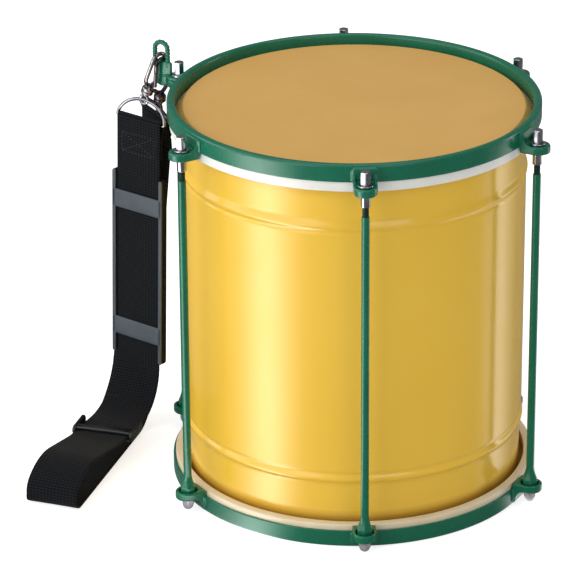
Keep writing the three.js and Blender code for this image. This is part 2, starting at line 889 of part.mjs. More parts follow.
// Direction across the webbing, turned about Z from +X
function acrossRun(turn) {
  return new THREE.Vector3(Math.cos(turn), -Math.sin(turn), 0);
}

const frontAcross = acrossRun(frontRunTurn);
const backAcross = acrossRun(backRunTurn);

// A point of the strap's run, from the strap lug
function strapPoint(x, y, z) {
  return outward.clone().multiplyScalar(lugCircleRadius).add(new THREE.Vector3(x, y, z));
}

const frontBar = strapPoint(frontRunX, frontRunY, frontRunTopZ);
const backBar = strapPoint(backRunX, backRunY, backRunTopZ);

// Direction of a hook's length, leaning out from the drum and swaying along the hoop
function hookUp(lean, sway) {
  return upward.clone().addScaledVector(outward, -lean).addScaledVector(alongHoop, -sway).normalize();
}

// Direction from a hook's back to its gate, square to the slant across the fin
const hookSlant = outward.clone().multiplyScalar(Math.cos(hookTurn))
  .addScaledVector(alongHoop, Math.sin(hookTurn));

const eyeOne = buildHook(
  1,
  bracketPoint(highHookReach, finTopZ + highHookLift),
  hookUp(highHookLean, highHookSway),
  hookSlant.clone().negate(),
  frontAcross,
  'chrome',
);
const eyeTwo = buildHook(
  2,
  bracketPoint(lowHookReach, finTopZ + seatGap * 2),
  hookUp(lowHookLean, 0),
  hookSlant,
  backAcross,
  'darkMetal',
);

// Strap rings: a straight bar in the webbing and a bowed side through the swivel's eye

function buildRing(number, bar, across, eye, finish) {
  const hang = bar.clone().sub(eye);
  const slide = -hang.dot(across);
  const rest = (eyeRadius - eyeWire / 2 - ringWire / 2) / 3;
  const up = hang.clone().negate().addScaledVector(across, -slide).normalize();
  const normal = across.clone().cross(up).normalize();
  const half = ringBarLength / 2;
  const bowShare = Math.sqrt(1 - (slide / half) ** 2);
  const barPoint = eye.clone()
    .addScaledVector(upward, -rest)
    .addScaledVector(across, -slide)
    .addScaledVector(up, -ringHeight * bowShare);
  const points = [];
  for (let i = 0; i <= ringSteps; i += 1) {
    const angle = halfTurn * (i / ringSteps);
    points.push(barPoint.clone()
      .addScaledVector(across, half * Math.cos(angle))
      .addScaledVector(up, ringHeight * Math.sin(angle)));
  }
  points.push(barPoint.clone().addScaledVector(across, -half / 3));
  points.push(barPoint.clone().addScaledVector(across, half / 3));
  add(`strap_ring_${number}`, wire(points, normal, () => ringWire / 2, true), finish);
  return barPoint;
}

const barOne = buildRing(1, frontBar, frontAcross, eyeOne, 'chrome');
const barTwo = buildRing(2, backBar, backAcross, eyeTwo, 'darkMetal');

// Webbing: straight stretches with rounded corners

// Points along the stretches; each corner is an arc of its own radius
function roundedRoute(corners) {
  const route = [];
  corners.forEach(({ at, radius = 0, turn }, i) => {
    if (i === 0 || i === corners.length - 1) {
      route.push({ at, turn });
      return;
    }
    const back = corners[i - 1].at.clone().sub(at).normalize();
    const forth = corners[i + 1].at.clone().sub(at).normalize();
    const opening = back.angleTo(forth);
    const reach = radius / Math.tan(opening / 2);
    const centre = at.clone().addScaledVector(back.clone().add(forth).normalize(), radius / Math.sin(opening / 2));
    const from = at.clone().addScaledVector(back, reach).sub(centre);
    const to = at.clone().addScaledVector(forth, reach).sub(centre);
    const sweep = from.angleTo(to);
    const { enter = turn, leave = turn } = corners[i];
    for (let k = 0; k <= arcSteps; k += 1) {
      const share = k / arcSteps;
      const spoke = from.clone().multiplyScalar(Math.sin((1 - share) * sweep))
        .addScaledVector(to, Math.sin(share * sweep))
        .divideScalar(Math.sin(sweep));
      route.push({ at: centre.clone().add(spoke), turn: enter + (leave - enter) * share });
    }
  });
  return route;
}

// A flat strip along the route; its width lies square to the run, near the given turn
function strip(route, width, thickness) {
  const rings = route.map(({ at, turn }, i) => {
    const before = route[Math.max(i - 1, 0)].at;
    const after = route[Math.min(i + 1, route.length - 1)].at;
    const along = after.clone().sub(before).normalize();
    const across = acrossRun(turn);
    across.addScaledVector(along, -across.dot(along)).normalize();
    const normal = along.clone().cross(across);
    return [[-1, -1], [1, -1], [1, 1], [-1, 1]].map(([u, v]) => at.clone()
      .addScaledVector(across, (u * width) / 2)
      .addScaledVector(normal, (v * thickness) / 2));
  });
  return loft(rings);
}

const lapOffset = ringWire / 2 + seatGap + webbingThickness / 2;
const frontNormal = frontAcross.clone().cross(upward).normalize();
const backNormal = backAcross.clone().cross(upward).normalize();
const lowRunZ = floorZ + floorClearance + webbingThickness / 2;
const highRunZ = lowRunZ + foldHeight;
const frontFoot = new THREE.Vector3(barOne.x - frontRunLean, barOne.y - frontRunSway, highRunZ);
const backNeck = barTwo.clone().addScaledVector(upward, -backRunNeck);
const backBelly = barTwo.clone().addScaledVector(backAcross, backRunBelly).addScaledVector(upward, -backBellyDrop);
const backFoot = strapPoint(backRunFootX, backRunFootY, lowRunZ);
const foldTop = strapPoint(foldX, foldY, highRunZ);
const foldFoot = strapPoint(foldX, foldY, lowRunZ);

// Angle of a strip's width on a level run between two points
function levelTurn(from, to) {
  const run = to.clone().sub(from);
  return Math.atan2(Math.abs(run.x), Math.abs(run.y));
}

const highTurn = levelTurn(frontFoot, foldTop);
const lowTurn = levelTurn(foldFoot, backFoot);

function webbingCorners() {
  const overFront = barOne.clone().addScaledVector(upward, lapOffset);
  const overBack = barTwo.clone().addScaledVector(upward, lapOffset);
  const sewnFront = barOne.clone().addScaledVector(upward, -webbingLap);
  const sewnBack = barTwo.clone().addScaledVector(upward, -webbingLap);
  const off = (point, normal, distance) => point.clone().addScaledVector(normal, distance);
  return [
    { at: off(sewnFront, frontNormal, -lapOffset), turn: frontRunTurn },
    { at: off(overFront, frontNormal, -lapOffset), radius: lapOffset * lapCornerShare, turn: frontRunTurn },
    { at: off(overFront, frontNormal, lapOffset), radius: lapOffset * lapCornerShare, turn: frontRunTurn },
    { at: off(frontFoot, frontNormal, lapOffset), radius: frontFootRadius, enter: frontRunTurn, leave: highTurn },
    { at: foldTop, radius: foldHeight * foldCornerShare, turn: highTurn },
    { at: foldFoot, radius: foldHeight * foldCornerShare, enter: highTurn, leave: lowTurn },
    { at: off(backFoot, backNormal, lapOffset), radius: backFootRadius, enter: lowTurn, leave: backRunTurn },
    { at: off(backBelly, backNormal, lapOffset), radius: backBellyRadius, turn: backRunTurn },
    { at: off(backNeck, backNormal, lapOffset), radius: backNeckRadius, turn: backRunTurn },
    { at: off(overBack, backNormal, lapOffset), radius: lapOffset * lapCornerShare, turn: backRunTurn },
    { at: off(overBack, backNormal, -lapOffset), radius: lapOffset * lapCornerShare, turn: backRunTurn },
    { at: off(sewnBack, backNormal, -lapOffset), turn: backRunTurn },
  ];
}

const route = roundedRoute(webbingCorners());
add('strap_webbing', strip(route, webbingWidth, webbingThickness), 'webbing');

// Shoulder pad. Its frame: X across the webbing, Y away from the wearer's side, Z up the run

function buildPad() {
  const slotHalf = slotWidth / 2;
  const half = webbingThickness / 2 + seatGap;
  const outline = roundedRectangle(padWidth - padEdgeRound * 2, padLength - padEdgeRound * 2, padCornerRound);
  const body = new THREE.ExtrudeGeometry(outline, {
    depth: padThickness - padEdgeRound * 2,
    bevelThickness: padEdgeRound,
    bevelSize: padEdgeRound,
    bevelSegments: 1,
    curveSegments: 4,
  })
    .translate(0, 0, padEdgeRound - padFrontLip)
    .rotateX(-quarterTurn);
  const trough = box(
    [-slotHalf, -padFrontLip - cutOverrun, -padLength],
    [slotHalf, half, padLength],
  );
  const bridge = (height) => box(
    [-slotHalf - cutOverrun, -padFrontLip, height - padBridgeHeight / 2],
    [slotHalf + cutOverrun, -half, height + padBridgeHeight / 2],
  );
  const place = padLength / 2 - padBridgeInset - padBridgeHeight / 2;
  return toSolid(body)
    .subtract(toSolid(trough))
    .add(toSolid(bridge(place)))
    .add(toSolid(bridge(-place)));
}

const runTop = barOne.clone().addScaledVector(frontNormal, lapOffset);
const runFoot = frontFoot.clone().addScaledVector(frontNormal, lapOffset);
const runUp = runTop.clone().sub(runFoot).normalize();
const padCentre = runTop.clone().addScaledVector(runUp, -padTopDrop - padLength / 2);
const padX = frontAcross.clone().addScaledVector(runUp, -frontAcross.dot(runUp)).normalize();
const padFrame = placed(padCentre, padX, runUp.clone().cross(padX), runUp);
add('shoulder_pad', buildPad(), 'padRubber', padFrame);

// Slider: two cheeks, two bars under the webbing and one over it

function sliderSolid() {
  const half = webbingThickness / 2 + seatGap;
  const inner = slotWidth / 2;
  const foot = -half - sliderBarHeight;
  const cheek = (side) => prism(
    roundedRectangle(sliderCheekWidth, sliderLength, sliderCheekRound),
    foot,
    foot + sliderCheekHeight,
    3,
  ).translate(side * (inner + sliderWidth / 2) / 2, 0, 0);
  const bar = (place, low, high) => box(
    [-inner - seatGap, place - sliderBarLength / 2, low],
    [inner + seatGap, place + sliderBarLength / 2, high],
  );
  const edge = (sliderLength - sliderBarLength) / 2 - seatGap;
  return joined(
    cheek(-1),
    cheek(1),
    bar(-edge, foot, -half),
    bar(edge, foot, -half),
    bar(0, half, half + sliderBarHeight),
  );
}

const lowerRun = foldTop.clone().sub(runFoot).setZ(0).normalize();
const sliderCentre = runFoot.clone().setZ(highRunZ).addScaledVector(lowerRun, sliderPlace);
const sliderX = lowerRun.clone().negate().cross(upward).normalize();
const sliderFrame = placed(sliderCentre, sliderX, lowerRun.clone().negate(), upward);
add('strap_slider', sliderSolid(), 'sliderPlastic', sliderFrame);

// Drum body

buildShell();
buildHead('batter', batterCollarDepth, model);
buildHoop('batter_hoop', batterRecess, batterCollarDepth, model);
const lower = lowerEnd();
buildHead('resonant', resonantCollarDepth, lower);
buildHoop('resonant_hoop', resonantRecess, resonantCollarDepth, lower);
buildTension();
buildBracket();

export default model;
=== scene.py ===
import math

import bmesh
import bpy
import numpy as np
from mathutils import Matrix, Vector


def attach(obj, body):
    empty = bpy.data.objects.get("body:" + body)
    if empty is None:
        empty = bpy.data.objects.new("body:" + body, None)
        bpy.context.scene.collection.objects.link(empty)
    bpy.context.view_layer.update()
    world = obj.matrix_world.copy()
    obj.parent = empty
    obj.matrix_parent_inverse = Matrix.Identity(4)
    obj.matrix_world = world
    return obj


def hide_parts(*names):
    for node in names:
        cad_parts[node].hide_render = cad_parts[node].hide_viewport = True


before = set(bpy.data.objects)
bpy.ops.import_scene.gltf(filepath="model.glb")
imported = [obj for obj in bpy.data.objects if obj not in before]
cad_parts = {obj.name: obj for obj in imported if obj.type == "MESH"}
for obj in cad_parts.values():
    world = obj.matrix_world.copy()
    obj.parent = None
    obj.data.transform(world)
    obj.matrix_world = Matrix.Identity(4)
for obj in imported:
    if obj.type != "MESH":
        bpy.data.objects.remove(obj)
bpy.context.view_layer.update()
mm = 0.001  # lengths below are in millimetres, the scene is in metres
turn = 2 * math.pi
print("frame loaded")


def unit(v):
    # for one vector or for rows of them
    v = np.asarray(v, float)
    return v / np.linalg.norm(v, axis=-1, keepdims=True)


def square(v, n):
    # the part of v that stands square to n, as a unit vector
    return unit(v - n * np.sum(v * n, -1, keepdims=True))


def addObject(name, data):
    thing = bpy.data.objects.new(name, data)
    bpy.context.scene.collection.objects.link(thing)
    return thing


# Camera, fitted to the photograph

camera = {
    "place": (-160.9, -2923.0, 1115.5),
    "target": (0.0, 0.0, -170.2),
    "roll": 0.08,
    "focalPixels": 3602.0,
    "framePixels": 575.0,
    "targetPixel": (353.93, 282.35),
    "sensor": 36.0,
    "farClip": 50.0,
}


def makeCamera(c):
    # the target lands on its pixel by turning the camera, so the lens needs no shift
    place = np.array(c["place"])
    ahead = unit(np.array(c["target"]) - place)
    right = unit(np.cross(ahead, (0, 0, 1)))
    up = np.cross(right, ahead)
    a = math.radians(c["roll"])
    right, up = right * math.cos(a) + up * math.sin(a), up * math.cos(a) - right * math.sin(a)
    half = c["framePixels"] / 2
    aside, below = half - c["targetPixel"][0], half - c["targetPixel"][1]
    aim = unit(ahead * c["focalPixels"] + right * aside - up * below)
    up = square(up, aim)
    lens = bpy.data.cameras.new("photoCamera")
    lens.sensor_width = c["sensor"]
    lens.lens = c["sensor"] * c["focalPixels"] / c["framePixels"]
    lens.clip_end = c["farClip"]
    holder = addObject("photoCamera", lens)
    columns = np.stack((np.cross(aim, up), up, -aim, place * mm), 1)
    holder.matrix_world = Matrix((*columns.tolist(), (0, 0, 0, 1)))
    bpy.context.scene.camera = holder


makeCamera(camera)
print("camera set")


# Materials

def srgb(r, g, b):
    # screen values 0 to 255 as linear light
    c = np.array((r, g, b)) / 255
    lin = np.where(c <= 0.04045, c / 12.92, ((c + 0.055) / 1.055) ** 2.4)
    return (*lin.tolist(), 1.0)


class Finish:
    # a Principled material and short ways to wire textures into it
    def __init__(self, name, colour, roughness, metallic=0.0):
        self.material = bpy.data.materials.new(name)
        self.material.use_nodes = True
        self.nodes = self.material.node_tree.nodes
        self.links = self.material.node_tree.links
        self.shader = self.nodes["Principled BSDF"]
        self.dial({"Base Color": colour, "Roughness": roughness, "Metallic": metallic})
        self.place = self.add("TexCoord").outputs["Object"]
        self.bump = {}

    def dial(self, settings):
        for slot, value in settings.items():
            self.shader.inputs[slot].default_value = value

    def feed(self, slot, value):
        # an output is linked, a number or colour is set
        if isinstance(value, bpy.types.NodeSocket):
            self.links.new(value, slot)
        else:
            slot.default_value = value

    def add(self, kind, **slots):
        # a node with values or outputs in its inputs; a _ stands for the blank in an input's name
        node = self.nodes.new("ShaderNode" + kind)
        for slot, value in slots.items():
            self.feed(node.inputs[slot.replace("_", " ")], value)
        return node

    def split(self, vector):
        return self.add("SeparateXYZ", Vector=vector).outputs

    def noise(self, scale, detail=2.0, stretch=None):
        place = self.place
        if stretch:
            place = self.add("Mapping", Scale=stretch, Vector=place).outputs["Vector"]
        return self.add("TexNoise", Scale=scale, Detail=detail, Vector=place).outputs["Fac"]

    def ranged(self, value, low, high, fromLow=0.3, fromHigh=0.7):
        node = self.add("MapRange", Value=value, From_Min=fromLow, From_Max=fromHigh, To_Min=low, To_Max=high)
        return node.outputs["Result"]

    def roughness(self, value, low, high):
        self.links.new(self.ranged(value, low, high), self.shader.inputs["Roughness"])

    def colours(self, value, first, second, fromLow=0.3, fromHigh=0.7, low=0, high=1):
        # the share of the second colour goes from low to high while the value goes from fromLow to fromHigh
        node = self.nodes.new("ShaderNodeMix")
        node.data_type = "RGBA"
        self.feed(node.inputs["A"], first)
        self.feed(node.inputs["B"], second)
        self.links.new(self.ranged(value, low, high, fromLow, fromHigh), node.inputs["Factor"])
        self.links.new(node.outputs["Result"], self.shader.inputs["Base Color"])
        return node.outputs["Result"]

    def math(self, operation, *values):
        node = self.nodes.new("ShaderNodeMath")
        node.operation = operation
        for slot, value in zip(node.inputs, values):
            self.feed(slot, value)
        return node.outputs["Value"]

    def emboss(self, height, distance, strength):
        # a later bump stands on the one before it
        node = self.add("Bump", Height=height, Distance=distance, Strength=strength, **self.bump)
        self.bump = {"Normal": node.outputs["Normal"]}
        self.links.new(node.outputs["Normal"], self.shader.inputs["Normal"])


def makeYellowPaint():
    f = Finish("yellowPaint", srgb(249, 202, 68), 0.22)
    paint = f.colours(f.noise(9), srgb(248, 200, 66), srgb(251, 204, 72))
    # painted shade: the paint darkens softly towards its lower end, where the shell dips behind the lower
    # ring
    shadeFrom, shadeTo, share = -0.3205, -0.3305, 0.8
    f.colours(f.split(f.place)["Z"], paint, srgb(168, 120, 40), shadeTo, shadeFrom, share, 0)
    f.roughness(f.noise(60, 3), 0.2, 0.26)
    f.dial({"Coat Weight": 0.2, "Coat Roughness": 0.06})
    f.emboss(f.noise(420, 2), 0.00002, 0.35)
    return f.material


def makeGreenPaint():
    f = Finish("greenPaint", srgb(12, 107, 79), 0.26)
    f.colours(f.noise(25, 3), srgb(11, 103, 76), srgb(16, 112, 84))
    f.roughness(f.noise(90, 3), 0.22, 0.32)
    f.dial({"Specular IOR Level": 0.4, "Coat Weight": 0.15, "Coat Roughness": 0.08})
    f.emboss(f.noise(700, 2), 0.00004, 0.35)
    return f.material


def makeHeadFilm():
    f = Finish("headFilm", srgb(221, 172, 91), 0.5)
    f.colours(f.noise(14, 4), srgb(219, 170, 89), srgb(224, 176, 96))
    f.roughness(f.noise(300, 3), 0.46, 0.58)
    f.emboss(f.noise(1600, 3), 0.00005, 0.4)
    return f.material


def makeAluminium(name, dark, light):
    f = Finish(name, light, 0.42, 0.04)
    f.colours(f.noise(30, 4), dark, light)
    f.roughness(f.noise(400, 4, stretch=(1, 1, 8)), 0.36, 0.5)
    f.emboss(f.noise(900, 3, stretch=(1, 1, 6)), 0.00003, 0.4)
    return f.material


def makePlating(name, light, dark, low, high, metallic=1.0):
    f = Finish(name, light, low, metallic)
    f.colours(f.noise(160, 4), dark, light)
    f.roughness(f.noise(380, 4), low, high)
    f.emboss(f.noise(1300, 3), 0.00003, 0.3)
    return f.material


def makeThread():
    f = Finish("darkThread", srgb(8, 44, 34), 0.4, 0.2)
    f.colours(f.noise(500, 3), srgb(6, 36, 28), srgb(16, 58, 46))
    f.roughness(f.noise(700, 3), 0.3, 0.5)
    return f.material


def makeWebbing():
    # rib rows across the strap, split into bumps: a sine along times a raised sine across, with yarn fuzz
    rowLength, bumpWidth = 2.5, 3.3
    f = Finish("webbing", srgb(16, 18, 21), 0.92)
    spot = f.nodes.new("ShaderNodeAttribute")
    spot.attribute_name = "strapPlace"
    place = f.split(spot.outputs["Vector"])
    ribs, bumps = (f.math("ABSOLUTE", f.math("SINE", f.math("MULTIPLY", place[axis], math.pi / size)))
                   for axis, size in (("X", rowLength), ("Y", bumpWidth)))
    weave = f.math("MULTIPLY", ribs, f.math("ADD", f.math("MULTIPLY", bumps, 0.6), 0.4))
    height = f.math("ADD", weave, f.math("MULTIPLY", f.noise(2600, 3), 0.6))
    f.colours(height, srgb(0, 0, 1), srgb(28, 33, 39), 0.5, 1.35)
    f.dial({"Specular IOR Level": 0.15, "Sheen Weight": 0.05, "Sheen Roughness": 0.5})
    f.emboss(height, 0.00035, 0.7)
    f.emboss(f.noise(60, 2), 0.0006, 0.25)
    return f.material


def makeStitch():
    f = Finish("stitchThread", srgb(30, 34, 39), 0.7)
    f.colours(f.noise(900, 2), srgb(24, 27, 32), srgb(40, 44, 50))
    f.emboss(f.noise(2500, 2), 0.0001, 0.5)
    return f.material


def makeMoulding(name, dark, light, low, high, grain, depth, specular=0.5):
    f = Finish(name, dark, low)
    f.colours(f.noise(50, 4), dark, light)
    f.roughness(f.noise(240, 3), low, high)
    f.dial({"Specular IOR Level": specular})
    f.emboss(f.noise(grain, 3), depth, 0.5)
    return f.material


yellowPaint = makeYellowPaint()
greenPaint = makeGreenPaint()
headFilm = makeHeadFilm()
aluminium = makeAluminium("aluminium", srgb(243, 243, 236), srgb(250, 250, 246))
# a copy of the same aluminium tinted yellow-cream: painted reflection of the yellow shell, for the lower ring
yellowReflectionAluminium = makeAluminium("yellowReflectionAluminium", srgb(228, 212, 180), srgb(240, 227, 199))
silver = makePlating("silverPlating", srgb(194, 193, 199), srgb(146, 145, 153), 0.1, 0.2)
# a lighter, half-diffuse copy of the silver plating for the foot nuts: painted light, brightening nuts that
# face the dim floor
footSilverLit = makePlating("footPlatingLit", srgb(212, 204, 214), srgb(170, 163, 174), 0.18, 0.28, 0.5)
hookSilver = makePlating("hookPlating", srgb(166, 163, 168), srgb(104, 99, 106), 0.12, 0.22)
darkPlating = makePlating("darkPlating", srgb(106, 98, 104), srgb(52, 46, 54), 0.14, 0.26)
darkThread = makeThread()
webbingCloth = makeWebbing()
stitchThread = makeStitch()
padGrey = makeMoulding("padGrey", srgb(63, 72, 80), srgb(72, 81, 89), 0.5, 0.66, 1500, 0.00006)
padShade = makeMoulding("padBase", srgb(12, 14, 17), srgb(20, 23, 27), 0.6, 0.75, 1500, 0.00006, 0.2)
sliderBlack = makeMoulding("sliderPlastic", srgb(14, 16, 19), srgb(24, 27, 31), 0.34, 0.46, 1200, 0.00004)
print("materials made")


# Mesh helpers

def gridFaces(rows, columns, wrapRows, wrapColumns, start=0):
    # quads between neighbouring rows and columns of a grid
    i, j = np.mgrid[:rows - (not wrapRows), :columns - (not wrapColumns)]
    nextI, nextJ = (i + 1) % rows, (j + 1) % columns
    quad = [row * columns + column for row, column in ((i, j), (i, nextJ), (nextI, nextJ), (nextI, j))]
    return np.stack(quad, -1).reshape(-1, 4) + start


def gridMesh(name, grids, scale):
    # grids is a list of (points, wrapRows, wrapColumns)
    places, faces, start = [], [], 0
    for points, wrapRows, wrapColumns in grids:
        places.append(points.reshape(-1, 3))
        faces.append(gridFaces(*points.shape[:2], wrapRows, wrapColumns, start))
        start += len(places[-1])
    mesh = bpy.data.meshes.new(name)
    mesh.from_pydata((np.concatenate(places) * scale).tolist(), [], np.concatenate(faces).tolist())
    return mesh


def cleanMesh(mesh, join=0.0, thin=0.0):
    # vertices nearer than join become one, edges shorter than thin go, and the normals turn outwards
    tidy = bmesh.new()
    tidy.from_mesh(mesh)
    if join:
        bmesh.ops.remove_doubles(tidy, verts=tidy.verts, dist=join)
    if thin:
        bmesh.ops.dissolve_degenerate(tidy, edges=tidy.edges, dist=thin)
    bmesh.ops.recalc_face_normals(tidy, faces=tidy.faces)
    tidy.to_mesh(mesh)
    tidy.free()


def makePiece(name, grids, material, body, stands, crease=38.0, facts=None):
    # the equal vertices of poles and caps are joined, so that they close
    mesh = gridMesh(name, grids, mm)
    if facts is not None:
        mesh.attributes.new("strapPlace", "FLOAT_VECTOR", "POINT").data.foreach_set("vector", facts.ravel())
    cleanMesh(mesh, 1e-6, 1e-7)
    return finishPiece(name, mesh, material, body, stands, crease)


def finishPiece(name, mesh, material, body, stands, crease):
    mesh.materials.append(material)
    mesh.polygons.foreach_set("use_smooth", np.ones(len(mesh.polygons), bool))
    mesh.set_sharp_from_angle(angle=math.radians(crease))
    piece = addObject(name, mesh)
    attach(piece, body)
    if stands:
        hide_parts(*stands)
    return piece


def cornerArc(before, at, after, radius, steps, straight=math.pi):
    # an arc that touches both sides of a corner, or the corner itself where it opens wider than straight
    back, forth = unit(before - at), unit(after - at)
    opening = math.acos(np.clip(np.dot(back, forth), -1, 1))
    if opening > straight:
        return at[None]
    reach = radius / math.tan(opening / 2)
    centre = at + unit(back + forth) * radius / math.sin(opening / 2)
    first, last = at + back * reach - centre, at + forth * reach - centre
    sweep = math.pi - opening
    share = np.linspace(0, 1, steps + 1)[:, None]
    return centre + (first * np.sin((1 - share) * sweep) + last * np.sin(share * sweep)) / math.sin(sweep)


def roundedOutline(corners, steps=6, closed=True):
    # each corner is (x, y, radius)
    points = np.array([c[:2] for c in corners], float)
    out, ends, nearlyStraight = [], () if closed else (0, len(points) - 1), 3.1
    for i, at in enumerate(points):
        radius, after = corners[i][2], points[(i + 1) % len(points)]
        sharp = radius <= 0 or i in ends
        out.append(at[None] if sharp else cornerArc(points[i - 1], at, after, radius, steps, nearlyStraight))
    return np.concatenate(out)


def around(count):
    return np.arange(count) / count * turn


def ringPoints(reach, angle, height):
    # points at a distance from Z, turned round it, at a height
    return np.stack((reach * np.cos(angle), reach * np.sin(angle), height + 0 * angle), -1)


def spun(outline, count):
    # the outline (radius, height) carried round Z
    return ringPoints(outline[:, :1], around(count), outline[:, 1:])


def swept(path, section, normal, closed=False):
    # a flat section carried along a path whose bends lie in the plane with that normal; the section may
    # also be one for each point of the path
    ahead = np.roll(path, -1, 0) - np.roll(path, 1, 0) if closed else np.gradient(path, axis=0)
    side = unit(np.cross(unit(ahead), normal))
    return path[:, None] + side[:, None] * section[..., :1] + normal * section[..., 1:]


def circle(count):
    return np.stack((np.cos(around(count)), np.sin(around(count))), -1)


def capped(grid):
    # closes both ends of a tube with a fan
    first, last = (np.broadcast_to(end.mean(0), grid[:1].shape) for end in (grid[0], grid[-1]))
    return np.concatenate((first, grid, last))


def axesFrom(across, up):
    # rows X, Y and Z of a frame with that unit Z, whose X leans to across
    x = square(across, up)
    return np.stack((x, np.cross(up, x), up))


def placed(grid, origin, axes, ringed=False):
    # a grid of a local frame put where that frame is, ready for makePiece
    return grid @ axes + origin, ringed, True


def platedOutline(outline, thickness, round):
    # a flat outline with thickness along Z, drawn in near both faces so that its rim is round
    ahead = np.roll(outline, -1, 0) - np.roll(outline, 1, 0)
    length = np.linalg.norm(ahead, axis=1, keepdims=True)
    inwards = np.stack((-ahead[:, 1], ahead[:, 0]), -1) / np.maximum(length, 1e-9)
    if np.sum(inwards * (outline.mean(0) - outline)) < 0:
        inwards = -inwards
    levels = []
    for a in np.linspace(0, math.pi, 9):
        flat = outline + inwards * (round * (1 - math.sin(a)))
        levels.append(np.concatenate((flat, np.full((len(flat), 1), -math.cos(a) * thickness / 2)), 1))
    return capped(np.stack(levels))


def slab(home, xs, ys, zs, corner, rim, order=(0, 1, 2)):
    # a rounded box between two values on each axis of its home (origin, axes); order swaps the axes
    (x0, x1), (y0, y1), (z0, z1) = xs, ys, zs
    plan = roundedOutline([(x0, y0, corner), (x1, y0, corner), (x1, y1, corner), (x0, y1, corner)])
    grid = platedOutline(plan, z1 - z0, rim) + (0, 0, (z0 + z1) / 2)
    return placed(grid[..., order], *home)


# Drum sizes shared by its pieces, the same as the frame's

drum = {
    "height": 355.8,
    "batterRecess": 6.8,
    "resonantRecess": 4.2,
    "lugRadius": 174.5,
    "batterCollar": 8.0,
    "resonantCollar": 6.0,
    "seat": 0.3,
    "film": 0.4,
}
strapLug = 4
gap = drum["seat"]
hoopFoot = drum["batterRecess"] - drum["height"]
lowerFace = hoopFoot + drum["resonantRecess"]
lugAngles = -math.pi / 2 + np.arange(6) * math.pi / 3
sideways, upward = np.array((0.0, 1.0, 0.0)), np.array((0.0, 0.0, 1.0))


def lugFrame(i):
    a = lugAngles[i]
    axes = np.array(((math.cos(a), math.sin(a), 0), (-math.sin(a), math.cos(a), 0), (0, 0, 1)))
    return drum["lugRadius"] * axes[0], axes


def lowered(grid):
    # the lower end of the drum is the upper end turned over about X
    return grid * (1, -1, -1) + upward * lowerFace


shell = {
    "bodyRadius": 150.5,
    "endRadius": 148.9,
    "wall": 1.2,
    "lip": 0.8,
    "bevel": 0.25,
    "stepFrom": 46.0,
    "stepTo": 62.0,
    "crestAt": 53.4,
    "crestRise": 1.95,
    "crestWidth": 3.3,
    "valleyAt": 58.6,
    "valleyDepth": 0.75,
    "valleyWidth": 1.9,
}


def makeShell(s):
    # radius against depth: a smooth step from end to body, plus a bell-shaped crest and a narrower dip
    depth = np.concatenate((np.linspace(0, 44, 6), np.linspace(45, 66, 64)))
    share = np.clip((depth - s["stepFrom"]) / (s["stepTo"] - s["stepFrom"]), 0, 1)
    radius = s["endRadius"] + (s["bodyRadius"] - s["endRadius"]) * share ** 2 * (3 - 2 * share)
    radius += s["crestRise"] * np.exp(-((depth - s["crestAt"]) / s["crestWidth"]) ** 2)
    radius -= s["valleyDepth"] * np.exp(-((depth - s["valleyAt"]) / s["valleyWidth"]) ** 2)
    inset = drum["film"] + gap
    head, foot, end, lip, bevel = -inset, lowerFace + inset, s["endRadius"], s["lip"], s["bevel"]
    top = np.stack((radius, head - depth), -1)
    bottom = np.stack((radius, foot + depth), -1)[::-1]
    top[0, 1] -= lip
    bottom[-1, 1] += lip
    edge = ((end - lip, head), (end - bevel, head - bevel))
    rim = ((end - bevel, foot + bevel), (end - lip, foot))
    outer = np.concatenate((edge, top, bottom, rim))
    inner = outer[::-1] - (s["wall"], 0)
    inner[:, 1] = np.clip(inner[:, 1], foot, head)
    makePiece("shell_skin", [(spun(np.concatenate((outer, inner)), 240), True, True)],
              yellowPaint, "drum", ["shell"])


makeShell(shell)

head = {
    "skirt": 155.2,
    "tuck": 4.0,
    "ringOuter": 160.8,
    "ringWidth": 7.6,
    "ringHeight": 10.0,
}


def makeHead(h, name, collar, place, ringMaterial):
    # film: flat, over the shell's edge, down the collar slope, into the ring's groove, and back underneath
    edge, skirt, film, tuck = shell["endRadius"] + gap, h["skirt"], drum["film"], -collar - h["tuck"]
    corners = [(0, 0, 0), (edge - 0.3, 0, 1.6), (skirt + film, -collar, 1.2), (skirt + film, tuck, 0.15),
               (skirt, tuck, 0.15), (skirt, -collar, 0.9), (edge - 0.5, -film, 1.2), (0, -film, 0)]
    outline = roundedOutline(corners, closed=False)
    makePiece(f"{name}_skin", [(place(spun(outline, 240)), False, True)], headFilm, "drum", [f"{name}_film"])
    top, outer, groove = -collar, h["ringOuter"], tuck - gap
    low, inner = top - h["ringHeight"], outer - h["ringWidth"]
    near, far = skirt - gap, skirt + film + gap
    ring = [(far, top, 0.3), (outer, top, 0.9), (outer, low, 1.4), (inner, low, 0.8), (inner, top, 0.5),
            (near, top, 0.3), (near, groove, 0), (far, groove, 0)]
    makePiece(f"{name}_ring", [(place(spun(roundedOutline(ring, 5), 240)), True, True)],
              ringMaterial, "drum", [f"{name}_flesh_hoop"])


makeHead(head, "batter", drum["batterCollar"], lambda g: g, aluminium)
# the lower ring wears the aluminium copy with the painted reflection of the yellow shell
makeHead(head, "resonant", drum["resonantCollar"], lowered, yellowReflectionAluminium)
print("shell and heads made")


# Hoops

hoop = {
    "radius": 163.0,
    "wall": 1.9,
    "height": 15.3,
    "rim": 7.2,
    "round": 2.7,
    "earDrop": 14.3,
    "earDepth": 6.7,
    "earHalf": 10.2,
    "earFront": 11.2,
    "earPlate": 2.4,
    "hole": 4.7,
    "cup": 7.9,
    "cheekReach": 9.0,
    "cheekTop": 2.4,
    "cheekWall": 2.3,
    "leg": 2.0,
    "bead": 1.3,
    "voxel": 0.55,
}


